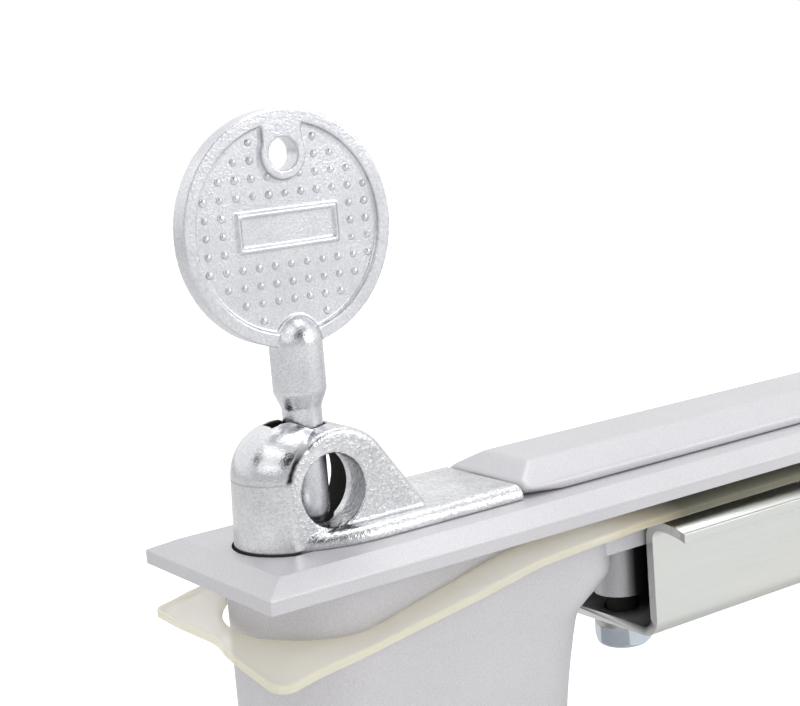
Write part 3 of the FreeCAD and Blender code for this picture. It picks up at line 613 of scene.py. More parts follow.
@dataclass(frozen=True)
class RubberFinish:
    """Milky silicone or black rubber, with its cut edge in a tint of its own, and where set a painted
    shade over part of its length.
    """

    name: str
    face: Colour
    cloud: Colour
    rim: Colour
    alpha_face: float
    alpha_rim: float
    roughness: float
    rougher: float = 1.25
    relief: Relief = Relief(0.12, 0.03)
    glow_depth_mm: float = 0.0
    glow_weight: float = 0.8
    glow_radius: Spot = (1.0, 0.95, 0.85)
    painted_shade_tint: Colour | None = None
    painted_shade_from_mm: float = -31.0
    painted_shade_to_mm: float = -17.0
    painted_shade_strength: float = 0.93

    def make(self, effects: SurfaceEffects) -> Material:
        """Builds the material.

        Args:
            effects: The shared node groups.

        Returns:
            The material.
        """
        surface = Surface.start(self.name)
        bench, inputs = surface.bench, surface.shader.inputs
        skin = bench.group(effects.cast_skin, {
            "Vector": surface.place,
            "Cloud Scale": 70.0,
            "Peel Scale": 420.0,
            "Grain Scale": 2600.0,
            "Grain Share": 0.15,
        })
        edge = bench.stored("rim")
        tone = bench.mix(skin["Mottle"], self.face, self.cloud)
        surface.tone = bench.mix(edge, tone, self.rim)
        opacity = bench.blend(edge, self.alpha_face, self.alpha_rim)
        # Painted shade: over the bracket the sheet turns dark olive and opaque, as it hangs in the
        # shade between plate and bracket.
        if self.painted_shade_tint is not None:
            x = bench.split(surface.place)[0]
            start, end = self.painted_shade_from_mm * MM, self.painted_shade_to_mm * MM
            over = bench.spread(x, start, end, 0.0, self.painted_shade_strength)
            surface.tone = bench.mix(over, surface.tone, self.painted_shade_tint)
            opacity = bench.spread(over, 0.0, self.painted_shade_strength, opacity, 1.0)
        if self.alpha_face < 1.0:
            bench.link(opacity, inputs["Alpha"])
        if self.glow_depth_mm > 0.0:
            inputs["Subsurface Weight"].default_value = self.glow_weight
            inputs["Subsurface Radius"].default_value = self.glow_radius
            inputs["Subsurface Scale"].default_value = self.glow_depth_mm * MM
        rougher = self.roughness * self.rougher
        surface.rough = bench.blend(skin["Mottle"], self.roughness, rougher)
        return surface.finish(skin["Height"], self.relief)


class FinishName(Enum):
    """Each finish on the lock."""

    PAINT = "silver_paint"
    HEAD = "head_chrome"
    KEY = "key_nickel"
    BRACKET = "bracket_zinc"
    SCREW = "plated_screws"
    BOLT = "bracket_bolts"
    STEEL = "plain_steel"
    CASTING = "cast_zinc"
    BRASS = "bush_brass"
    RUBBER = "black_rubber"
    SILICONE = "clear_silicone"


PLATED_SCREWS = SheetFinish(
    "plated_screws",
    light=(0.66, 0.71, 0.77, 1.0),
    dark=(0.52, 0.57, 0.63, 1.0),
    patch=(0.58, 0.64, 0.7, 1.0),
    rough_low=0.28,
    rough_high=0.4,
    relief=Relief(0.15, 0.03),
    stretch=(4.0, 4.0, 4.0),
)
# Painted shade: on the housing's boss inside the bracket's mouth, and on the bolts above the
# channel's floor.
BOSS_SHADE = PaintedShadeZone(
    start_x=-19.0, half_y=9.7, low_z=-17.4, top_z=-6.6, fade=0.6, past_bolt=-12.2
)
SHANK_SHADE = PaintedShadeZone(
    start_x=-40.0, half_y=20.0, low_z=-17.6, top_z=40.0, fade=0.1, past_bolt=-90.0
)

FINISHES: dict[FinishName, CastFinish | SheetFinish | RubberFinish] = {
    FinishName.PAINT: CastFinish(
        "silver_paint",
        light=(0.72, 0.712, 0.735, 1.0),
        dark=(0.67, 0.662, 0.685, 1.0),
        metallic=0.25,
        rough_low=0.4,
        rough_high=0.48,
        relief=Relief(0.4, 0.025),
        cloud=40.0,
        peel=1800.0,
        grain=5200.0,
        grain_share=1.0,
        sparkle=0.5,
        speck_share=0.1,
        shade_zone=BOSS_SHADE,
    ),
    FinishName.HEAD: CastFinish(
        "head_chrome",
        light=(0.8, 0.805, 0.82, 1.0),
        dark=(0.62, 0.625, 0.64, 1.0),
        metallic=1.0,
        rough_low=0.1,
        rough_high=0.18,
        relief=Relief(1.0, 0.055),
        cloud=160.0,
        peel=2000.0,
        grain=2600.0,
        grain_share=1.6,
        sparkle=0.85,
        speck_share=0.1,
        # The painted shade's colour in the head's room, keyhole, foot and seam, and of the valley's
        # painted dark reflection.
        painted_shade=(0.022, 0.02, 0.018, 1.0),
    ),
    FinishName.KEY: CastFinish(
        "key_nickel",
        light=(0.8, 0.805, 0.825, 1.0),
        dark=(0.66, 0.665, 0.69, 1.0),
        metallic=1.0,
        rough_low=0.22,
        rough_high=0.34,
        relief=Relief(0.6, 0.045),
        cloud=130.0,
        peel=2300.0,
        grain=4200.0,
        grain_share=1.2,
        sparkle=0.75,
        speck_share=0.1,
    ),
    FinishName.BRACKET: SheetFinish(
        "bracket_zinc",
        light=(0.71, 0.712, 0.67, 1.0),
        dark=(0.66, 0.665, 0.63, 1.0),
        patch=(0.64, 0.68, 0.7, 1.0),
        rough_low=0.26,
        rough_high=0.34,
        relief=Relief(0.08, 0.02),
        scale=60.0,
        shaded=True,
    ),
    FinishName.SCREW: PLATED_SCREWS,
    FinishName.BOLT: replace(PLATED_SCREWS, name="bracket_bolts", shade_zone=SHANK_SHADE),
    FinishName.STEEL: SheetFinish(
        "plain_steel",
        light=(0.58, 0.57, 0.55, 1.0),
        dark=(0.42, 0.41, 0.4, 1.0),
        patch=(0.5, 0.48, 0.44, 1.0),
        rough_low=0.3,
        rough_high=0.45,
        relief=Relief(0.2, 0.03),
    ),
    FinishName.CASTING: CastFinish(
        "cast_zinc",
        light=(0.6, 0.6, 0.6, 1.0),
        dark=(0.46, 0.46, 0.46, 1.0),
        metallic=1.0,
        rough_low=0.36,
        rough_high=0.5,
        relief=Relief(0.35, 0.04),
    ),
    FinishName.BRASS: SheetFinish(
        "bush_brass",
        light=(0.78, 0.62, 0.32, 1.0),
        dark=(0.6, 0.45, 0.2, 1.0),
        patch=(0.66, 0.5, 0.24, 1.0),
        rough_low=0.25,
        rough_high=0.4,
        relief=Relief(0.2, 0.02),
        stretch=(2.0, 2.0, 30.0),
    ),
    FinishName.RUBBER: RubberFinish(
        "black_rubber",
        face=(0.02, 0.02, 0.02, 1.0),
        cloud=(0.035, 0.035, 0.035, 1.0),
        rim=(0.03, 0.03, 0.03, 1.0),
        alpha_face=1.0,
        alpha_rim=1.0,
        roughness=0.55,
    ),
    FinishName.SILICONE: RubberFinish(
        "clear_silicone",
        face=(0.97, 0.89, 0.755, 1.0),
        cloud=(0.985, 0.92, 0.815, 1.0),
        rim=(0.97, 0.87, 0.62, 1.0),
        alpha_face=0.58,
        alpha_rim=0.74,
        roughness=0.3,
        glow_depth_mm=3.0,
        # Painted shade over the bracket.
        painted_shade_tint=(0.095, 0.097, 0.065, 1.0),
    ),
}


class Paintshop:
    """Makes each finish once and puts it on pieces."""

    def __init__(self) -> None:
        """Builds the shared groups and all the materials."""
        self.effects = SurfaceEffects()
        self.ready = {name: finish.make(self.effects) for name, finish in FINISHES.items()}

    def dress(self, piece: Piece, name: FinishName) -> None:
        """Gives a piece one finish all over.

        Args:
            piece: The piece.
            name: Its finish.
        """
        piece.data.materials.clear()
        piece.data.materials.append(self.ready[name])

    def dress_nodes(self, name: FinishName, nodes: Iterable[str]) -> None:
        """Gives carried-over CAD nodes a finish.

        Args:
            name: The finish.
            nodes: The nodes' names.
        """
        for node in nodes:
            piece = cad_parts[node]
            if not piece.material_slots:
                piece.data.materials.append(self.ready[name])
            for slot in piece.material_slots:
                slot.material = self.ready[name]
            LOG.info("dressed %s in %s", node, name.value)


# ------------------------------------------------------------------ mesh helpers


MERGE_M = 2e-7
FLAT_DEG = 0.5


def new_piece(name: str, mesh: Mesh) -> Piece:
    """Links a new object that holds a mesh.

    Args:
        name: The piece's name.
        mesh: Its mesh.

    Returns:
        The object, at the origin.
    """
    piece = bpy.data.objects.new(name, mesh)
    bpy.context.scene.collection.objects.link(piece)
    return piece


@contextmanager
def opened(mesh: Mesh) -> Iterator[bmesh.types.BMesh]:
    """Opens a mesh for changes and writes them back.

    Args:
        mesh: The mesh.

    Yields:
        The mesh as vertices, edges and faces to work on.
    """
    work = bmesh.new()
    work.from_mesh(mesh)
    yield work
    work.to_mesh(mesh)
    work.free()


def store(mesh: Mesh, name: str, values: Sequence[float]) -> None:
    """Stores a number on each of a mesh's points, for its finish to read.

    Args:
        mesh: The mesh.
        name: The attribute's name.
        values: One number for each point.
    """
    layer = mesh.attributes.new(name, "FLOAT", "POINT")
    layer.data.foreach_set("value", values)


def settle(piece: Piece, name: str) -> Piece:
    """Turns a piece with modifiers into a plain mesh.

    Args:
        piece: The piece, which is removed.
        name: Name of the plain piece.

    Returns:
        The plain piece.
    """
    bpy.context.view_layer.update()
    graph = bpy.context.evaluated_depsgraph_get()
    mesh = bpy.data.meshes.new_from_object(piece.evaluated_get(graph))
    mesh.name = name
    old = piece.data
    bpy.data.objects.remove(piece)
    if old.users == 0:
        bpy.data.meshes.remove(old)
    return new_piece(name, mesh)


def merged_copy(node: str, name: str) -> Piece:
    """Copies a CAD node's mesh and closes its seams.

    Args:
        node: The CAD node.
        name: Name of the copy.

    Returns:
        The copy, with its doubles merged.
    """
    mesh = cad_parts[node].data.copy()
    mesh.name = name
    with opened(mesh) as work:
        bmesh.ops.remove_doubles(work, verts=work.verts, dist=MERGE_M)
    layer = mesh.attributes.get("custom_normal")
    if layer is not None:
        mesh.attributes.remove(layer)
    return new_piece(name, mesh)


def soften_casting(
    node: str,
    name: str,
    voxel_mm: float,
    passes: int,
    change: Callable[[Mesh], None] | None = None,
) -> Piece:
    """Rebuilds a CAD node as a casting with slightly rounded edges.

    Args:
        node: The CAD node.
        name: Name of the new piece.
        voxel_mm: Size of the mesh's cells.
        passes: How often the surface is smoothed.
        change: A change to the copied mesh before it is rebuilt.

    Returns:
        The plain, smooth piece.
    """
    piece = merged_copy(node, name + "_raw")
    if change is not None:
        change(piece.data)
    cells = piece.modifiers.new("cells", "REMESH")
    cells.mode = "VOXEL"
    cells.voxel_size = voxel_mm * MM
    cells.use_smooth_shade = True
    ease = piece.modifiers.new("ease", "SMOOTH")
    ease.factor = 0.5
    ease.iterations = passes
    piece = settle(piece, name)
    piece.data.shade_smooth()
    return piece


def soften_sheet(
    node: str, name: str, width_mm: float, segments: int = 2, angle_deg: float = 30.0
) -> Piece:
    """Copies a CAD node with its sharp edges broken by a small bevel.

    Args:
        node: The CAD node.
        name: Name of the new piece.
        width_mm: Width of the bevel.
        segments: How many faces the bevel has.
        angle_deg: Edges sharper than this are bevelled.

    Returns:
        The plain piece.
    """
    piece = merged_copy(node, name + "_raw")
    with opened(piece.data) as work:
        bmesh.ops.dissolve_limit(
            work,
            angle_limit=math.radians(FLAT_DEG),
            verts=work.verts,
            edges=work.edges,
            delimit={"NORMAL"},
        )
    bevel = piece.modifiers.new("broken_edges", "BEVEL")
    bevel.width = width_mm * MM
    bevel.segments = segments
    bevel.limit_method = "ANGLE"
    bevel.angle_limit = math.radians(angle_deg)
    piece.data.shade_smooth()
    tidy = piece.modifiers.new("facets", "WEIGHTED_NORMAL")
    tidy.keep_sharp = True
    return settle(piece, name)


# ------------------------------------------------------------------ the lock's sub-assemblies


@dataclass
class Casing:
    """The painted plate and lock box, its cover and fasteners, and the works inside."""

    paintshop: Paintshop
    nodes: tuple[tuple[FinishName, tuple[str, ...]], ...] = (
        (FinishName.PAINT, ("housing", "box_cover")),
        (FinishName.SCREW, ("cover_screws", "head_screws", "head_washers", "guide_screws")),
        (FinishName.CASTING, ("key_rotor", "spindle")),
        (FinishName.STEEL, ("locking_bolt", "guide_plate", "hinge_pin", "thrust_washer")),
        (FinishName.STEEL, ("circlip", "lock_washer", "bolt_washers")),
        (FinishName.BRASS, ("spindle_bush",)),
        (FinishName.RUBBER, ("o_ring",)),
        (FinishName.BRACKET, ("rod_cam",)),
        (FinishName.SCREW, ("cam_screw",)),
    )

    def build(self) -> None:
        """Dresses the nodes that keep their CAD shapes."""
        for name, nodes in self.nodes:
            self.paintshop.dress_nodes(name, nodes)


@dataclass
class Head:
    """The chromed head with the padlock eye."""

    paintshop: Paintshop
    voxel_mm: float = 0.18
    passes: int = 4
    ball: Spot = (12.0, 0.0, 11.1)
    ball_r: float = 6.45
    barrel_r: float = 6.65
    ear: tuple[float, float] = (16.3, 9.1)
    ear_r: float = 7.4
    # The fields from room to seam_dark place the painted shade; the valley holds a painted dark
    # reflection along the crease between dome and ear.
    room: tuple[float, float] = (15.9, 9.1)
    room_r: float = 6.0
    room_start: float = -0.85
    room_end: float = 5.7
    key_x: float = 15.1
    keyhole_r: float = 2.75
    slot_reach: float = 5.05
    slot_half: float = 1.35
    slot_floor: float = 12.0
    slot_edge: float = 0.02
    slot_fade: float = 0.22
    deep_dark: float = 0.95
    foot_z: float = 3.0
    foot_mm: float = 0.32
    foot_end: float = 11.5
    foot_fade: float = 2.0
    valley_mm: float = 0.55
    valley_reach: tuple[float, float] = (10.9, 15.8)
    valley_fades: tuple[float, float] = (0.6, 2.2)
    valley_start: float = 0.3
    valley_span: float = 0.5
    patchy: float = 0.12
    patch_pitch: float = 2.3
    seam_mm: float = 0.12
    seam_near: float = 0.1
    seam_dark: float = 0.3
    barrel_polish: float = 0.55
    dome_polish: float = 0.25
    polish_rise: float = 0.4
    polish_near: float = 0.4
    polish_fade: float = 0.2

    def build(self) -> Piece:
        """Makes the casting with eased edges.

        Returns:
            The piece.
        """
        casting = soften_casting("lock_head", "head_casting", self.voxel_mm, self.passes)
        self.store_painted_shade_and_polish(casting.data)
        self.paintshop.dress(casting, FinishName.HEAD)
        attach(casting, "base")
        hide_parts("lock_head")
        LOG.info("head casting: %d faces", len(casting.data.polygons))
        return casting

    def store_painted_shade_and_polish(self, mesh: Mesh) -> None:
        """Stores the painted shade and how smooth each point lies, for the finish.

        Args:
            mesh: The casting's mesh.
        """
        places = [plate_place(vertex.co) for vertex in mesh.vertices]
        store(mesh, "painted_shade", [self.painted_shade_at(place) for place in places])
        store(mesh, "polish", [self.polished(place) for place in places])

    def off_dome(self, place: Spot) -> float:
        """Measures how far a place is off the dome, or off the barrel if it is below the seam.

        Args:
            place: The place, in mm from the plate's lock end and underside.

        Returns:
            The distance in mm, negative inside.
        """
        x, y, z = place
        if z > self.ball[2]:
            return math.dist(place, self.ball) - self.ball_r
        return math.hypot(x - self.ball[0], y) - self.barrel_r

    def polished(self, place: Spot) -> float:
        """Tells how smooth a place on the casting is.

        Args:
            place: The place, in mm from the plate's lock end and underside.

        Returns:
            A high share on the dome, a lower one on the barrel, 0 on the rough casting.
        """
        top = held((place[2] - self.ball[2]) / self.polish_rise)
        near = held((self.polish_near - abs(self.off_dome(place))) / self.polish_fade)
        return (self.barrel_polish + self.dome_polish * top) * near

    def painted_shade_at(self, place: Spot) -> float:
        """Tells how much painted shade a place on the casting gets.

        Args:
            place: The place, in mm from the plate's lock end and underside.

        Returns:
            Painted shade: 0 in the open, up to 1 inside the room and the keyhole.
        """
        x, y, z = place
        # Painted shade fills the room inside the ear.
        in_room = math.hypot(x - self.room[0], z - self.room[1]) < self.room_r
        if in_room and self.room_start < y < self.room_end:
            return self.deep_dark
        off_dome = self.off_dome(place)
        off_ear = math.hypot(x - self.ear[0], z - self.ear[1]) - self.ear_r
        in_slot = abs(y) < self.slot_half and self.key_x - self.slot_reach < x < self.key_x
        # Painted shade in the key slot and the keyhole.
        if z > self.slot_floor and (in_slot or math.hypot(x - self.key_x, y) < self.keyhole_r):
            return held((self.slot_edge - min(off_dome, off_ear)) / self.slot_fade)
        # Painted shade along the foot, where the head meets the plate.
        if z < self.foot_z + self.foot_mm:
            return max(0.0, min(self.deep_dark, (self.foot_end - x) / self.foot_fade))
        # A painted dark reflection along the valley between dome and ear.
        nearness = math.exp(-((off_dome / self.valley_mm) ** 2) - (off_ear / self.valley_mm) ** 2)
        uneven = nearness + self.patchy * noise.noise(Vector(place) * self.patch_pitch)
        valley = held((uneven - self.valley_start) / self.valley_span)
        (low, high), (rise, fall) = self.valley_reach, self.valley_fades
        valley *= held(min((z - low) / rise, (high - z) / fall))
        # Painted shade along the seam between ball and barrel.
        seam = math.exp(-(((z - self.ball[2]) / self.seam_mm) ** 2))
        return max(valley, self.seam_dark * seam if abs(off_dome) < self.seam_near else 0.0)


@dataclass
class Key:
    """The key: its casting and the pimples on its bow."""

    paintshop: Paintshop
    voxel_mm: float = 0.16
    passes: int = 2
    axis_x_mm: float = 15.1
    bow_z_mm: float = 39.8
    field_y_mm: float = 0.75
    field_radius_mm: float = 11.75
    pitch_mm: tuple[float, float] = (2.15, 2.05)
    pimple_mm: float = 0.46
    hole_z_mm: float = 48.4
    land_mm: float = 3.25
    frame_half_mm: tuple[float, float] = (7.4, 3.0)
    stem_half_mm: float = 3.6
    stem_top_mm: float = -9.3
    size_spread: float = 0.12
    flatness: float = 0.6
    rows: int = 11
    seed: int = 7
    shank_mm: float = 2.4
    tip_band_mm: tuple[float, float] = (4.5, 7.6)
    tip_fall_mm: float = 0.8

    def build(self) -> list[Piece]:
        """Makes the key.

        Returns:
            Its pieces.
        """
        casting = soften_casting(
            "key", "key_casting", self.voxel_mm, self.passes, self.lengthen_shank
        )
        self.paintshop.dress(casting, FinishName.KEY)
        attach(casting, "key")
        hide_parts("key")
        pimples = self.make_pimples()
        counts = len(casting.data.polygons), len(pimples.data.polygons)
        LOG.info("key casting: %d faces, pimples: %d faces", *counts)
        return [casting, pimples]

    def lengthen_shank(self, mesh: Mesh) -> None:
        """Lowers the shank's rounded end a little, as the photo shows it in the padlock eye.

        Args:
            mesh: The copied key.
        """
        low, high = self.tip_band_mm
        for vertex in mesh.vertices:
            x, y, z = plate_place(vertex.co)
            if low < z < high and math.hypot(x - self.axis_x_mm, y) < self.shank_mm:
                vertex.co.z -= self.tip_fall_mm * MM

    def pimple_tree(self) -> Tree:
        """Builds the tree that sets low domes in rows on both faces of the bow.

        Returns:
            The geometry node tree.
        """
        tree = bpy.data.node_groups.new("bow_pimples", "GeometryNodeTree")
        for label, value in (
            ("Field Radius", self.field_radius_mm * MM),
            ("Pitch", self.pitch_mm[0] * MM),
            ("Row Pitch", self.pitch_mm[1] * MM),
            ("Pimple Radius", self.pimple_mm * MM),
            ("Field Depth", self.field_y_mm * MM),
            ("Frame Half Length", self.frame_half_mm[0] * MM),
            ("Frame Half Height", self.frame_half_mm[1] * MM),
            ("Land Radius", self.land_mm * MM),
            ("Hole Height", (self.hole_z_mm - self.bow_z_mm) * MM),
            ("Stem Half Width", self.stem_half_mm * MM),
            ("Stem Top", self.stem_top_mm * MM),
            ("Size Spread", self.size_spread),
            ("Flatness", self.flatness),
            ("Rows", self.rows),
            ("Seed", self.seed),
        ):
            kind = SocketKind.WHOLE if isinstance(value, int) else SocketKind.NUMBER
            socket = tree.interface.new_socket(label, in_out="INPUT", socket_type=kind.value)
            socket.default_value = value
        for label, way, kind in (
            ("Finish", "INPUT", SocketKind.MATERIAL),
            ("Geometry", "OUTPUT", SocketKind.GEOMETRY),
        ):
            tree.interface.new_socket(label, in_out=way, socket_type=kind.value)
        bench = Bench(tree)
        given = bench.add("NodeGroupInput").outputs
        out = bench.add("NodeGroupOutput").inputs
        rows = given["Rows"]
        steps = bench.math("SUBTRACT", rows, 1.0)
        span = bench.product(given["Pitch"], steps)
        rise = bench.product(given["Row Pitch"], steps)
        sizes = {"Size X": span, "Size Y": rise, "Vertices X": rows, "Vertices Y": rows}
        grid = bench.add("GeometryNodeMeshGrid", sizes).outputs["Mesh"]
        dots = bench.add("GeometryNodeMeshToPoints", {"Mesh": grid}).outputs["Points"]
        dropped = self.outside_field(bench, given)
        values = {"Geometry": dots, "Selection": dropped}
        kept = bench.add("GeometryNodeDeleteGeometry", values, domain="POINT").outputs["Geometry"]
        values = {"Radius": given["Pimple Radius"], "Subdivisions": 3}
        ball = bench.add("GeometryNodeMeshIcoSphere", values).outputs["Mesh"]
        low = bench.math("SUBTRACT", 1.0, given["Size Spread"])
        high = bench.math("ADD", 1.0, given["Size Spread"])
        values = {2: low, 3: high, "Seed": given["Seed"]}
        size = bench.add("FunctionNodeRandomValue", values, data_type="FLOAT").outputs[1]
        scale = bench.add("ShaderNodeCombineXYZ", {0: size, 1: size, 2: given["Flatness"]})
        values = {"Points": kept, "Instance": ball, "Scale": scale.outputs[0]}
        set_out = bench.add("GeometryNodeInstanceOnPoints", values).outputs["Instances"]
        joined = bench.add("GeometryNodeJoinGeometry")
        upright = (math.pi / 2, 0.0, 0.0)
        for side in (-1.0, 1.0):
            lift = bench.add("ShaderNodeCombineXYZ", {1: bench.product(given["Field Depth"], side)})
            values = {"Geometry": set_out, "Translation": lift.outputs[0], "Rotation": upright}
            stand = bench.add("GeometryNodeTransform", values)
            bench.link(stand.outputs["Geometry"], joined.inputs["Geometry"])
        shape = joined.outputs["Geometry"]
        for kind in ("GeometryNodeRealizeInstances", "GeometryNodeSetShadeSmooth"):
            shape = bench.add(kind, {"Geometry": shape}).outputs["Geometry"]
        values = {"Geometry": shape, "Material": given["Finish"]}
        shape = bench.add("GeometryNodeSetMaterial", values).outputs["Geometry"]
        bench.link(shape, out["Geometry"])
        return tree

    @staticmethod
    def outside_field(bench: Bench, given: Any) -> Socket:
        """Picks the points off the field, on the frame, round the hole and on the stem.

        Args:
            bench: The tree's bench.
            given: The tree's inputs.

        Returns:
            The socket that is true where no pimple stands.
        """
        x, y, _ = bench.split(bench.add("GeometryNodeInputPosition").outputs[0])
        wide, high = bench.math("ABSOLUTE", x), bench.math("ABSOLUTE", y)
        under_hole = bench.math("MINIMUM", bench.math("SUBTRACT", y, given["Hole Height"]), 0.0)
        outside = bench.math("GREATER_THAN", bench.length(x, y), given["Field Radius"])
        in_frame = bench.product(
            bench.math("LESS_THAN", wide, given["Frame Half Length"]),
            bench.math("LESS_THAN", high, given["Frame Half Height"]),
        )
        in_land = bench.math("LESS_THAN", bench.length(x, under_hole), given["Land Radius"])
        in_stem = bench.product(
            bench.math("LESS_THAN", wide, given["Stem Half Width"]),
            bench.math("LESS_THAN", y, given["Stem Top"]),
        )
        dropped = outside
        for place in (in_frame, in_land, in_stem):
            dropped = bench.math("MAXIMUM", dropped, place)
        return bench.math("GREATER_THAN", dropped, 0.5)

    def make_pimples(self) -> Piece:
        """Runs the tree and sets the pimples on the bow.

        Returns:
            The pimples as one plain piece.
        """
        holder = new_piece("pimple_holder", bpy.data.meshes.new("pimple_holder"))
        pattern = holder.modifiers.new("pattern", "NODES")
        pattern.node_group = self.pimple_tree()
        items = pattern.node_group.interface.items_tree
        sockets = {item.name: item.identifier for item in items if item.in_out == "INPUT"}
        pattern[sockets["Finish"]] = self.paintshop.ready[FinishName.KEY]
        pattern[sockets["Seed"]] = self.seed
        pimples = settle(holder, "key_pimples")
        pimples.data.transform(Matrix.Translation(plate_point(self.axis_x_mm, 0.0, self.bow_z_mm)))
        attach(pimples, "key")
        return pimples


@dataclass
class Handle:
    """The long painted handle, with the soft edges of a casting."""

    paintshop: Paintshop
    voxel_mm: float = 0.3
    passes: int = 9
    slot_from: Spot = (39.0, -3.25, 3.5)
    slot_to: Spot = (44.2, 3.25, 4.45)

    def build(self) -> Piece:
        """Makes the handle's casting.

        Returns:
            The piece.
        """
        solid = soften_casting("handle", "handle_solid", self.voxel_mm, self.passes)
        casting = self.cut_slot(solid)
        self.paintshop.dress(casting, FinishName.PAINT)
        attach(casting, "handle")
        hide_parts("handle")
        LOG.info("handle casting: %d faces", len(casting.data.polygons))
        return casting

    def cut_slot(self, solid: Piece) -> Piece:
        """Cuts the locking bolt's slot to its full size again, which the smoothing narrows.

        Args:
            solid: The smoothed casting, which is removed.

        Returns:
            The casting with a clear slot in its tip.
        """
        ends = plate_point(*self.slot_from), plate_point(*self.slot_to)
        mesh = bpy.data.meshes.new("slot_cutter")
        with opened(mesh) as work:
            bmesh.ops.create_cube(work, size=1.0)
            for vertex in work.verts:
                vertex.co = Vector(ends[share > 0.0][axis] for axis, share in enumerate(vertex.co))
        cutter = new_piece("slot_cutter", mesh)
        slot = solid.modifiers.new("slot", "BOOLEAN")
        slot.operation = "DIFFERENCE"
        slot.solver = "EXACT"
        slot.object = cutter
        casting = settle(solid, "handle_casting")
        bpy.data.objects.remove(cutter)
        bpy.data.meshes.remove(mesh)
        return casting


@dataclass
class Clamp:
    """The zinc-plated sheet channel and its two bolts."""

    paintshop: Paintshop
    edge_mm: float = 0.16
    lip_start_mm: float = 12.4
    lip_end_mm: float = 17.0
    lip_steps: int = 8
    lip_fall_mm: float = 0.85
    inner_bend: float = 8.2
    inner_half: float = 9.78
    inner_low: float = 18.6
    inner_top: float = 5.4
    inner_dark: float = 0.93

    def build(self) -> Piece:
        """Makes the channel with broken edges and dresses the bolts.

        Returns:
            The channel.
        """
        channel = soften_sheet("clamp_bracket", "clamp_channel", self.edge_mm)
        self.curl_lips(channel.data)
        self.mark_painted_shade(channel.data)
        self.paintshop.dress(channel, FinishName.BRACKET)
        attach(channel, "base")
        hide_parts("clamp_bracket")
        self.paintshop.dress_nodes(FinishName.BOLT, ("bracket_bolts",))
        LOG.info("clamp channel: %d faces", len(channel.data.polygons))
        return channel

    def mark_painted_shade(self, mesh: Mesh) -> None:
        """Stores which points on the channel's inner walls get painted shade, for the finish.

        Args:
            mesh: The channel's mesh.
        """
        values = []
        for vertex in mesh.vertices:
            _, y, z = plate_place(vertex.co)
            at_wall = self.inner_bend < abs(y) < self.inner_half
            inside = at_wall and -self.inner_low < z < -self.inner_top
            values.append(self.inner_dark if inside else 0.0)
        store(mesh, "painted_shade", values)

    def curl_lips(self, mesh: Mesh) -> None:
        """Curls the channel's two lips down a little towards their edges.

        Args:
            mesh: The channel's mesh.
        """
        width = self.lip_end_mm - self.lip_start_mm
        lines = [self.lip_start_mm + width * n / self.lip_steps for n in range(self.lip_steps)]
        across = Vector((0.0, 1.0, 0.0))
        with opened(mesh) as work:
            for y in [-y for y in lines] + lines:
                everything = work.verts[:] + work.edges[:] + work.faces[:]
                place = across * (y * MM)
                bmesh.ops.bisect_plane(work, geom=everything, plane_co=place, plane_no=across)
            for vertex in work.verts:
                share = (abs(vertex.co.y) / MM - self.lip_start_mm) / width
                if share > 0.0:
                    vertex.co.z -= self.lip_fall_mm * MM * share * share


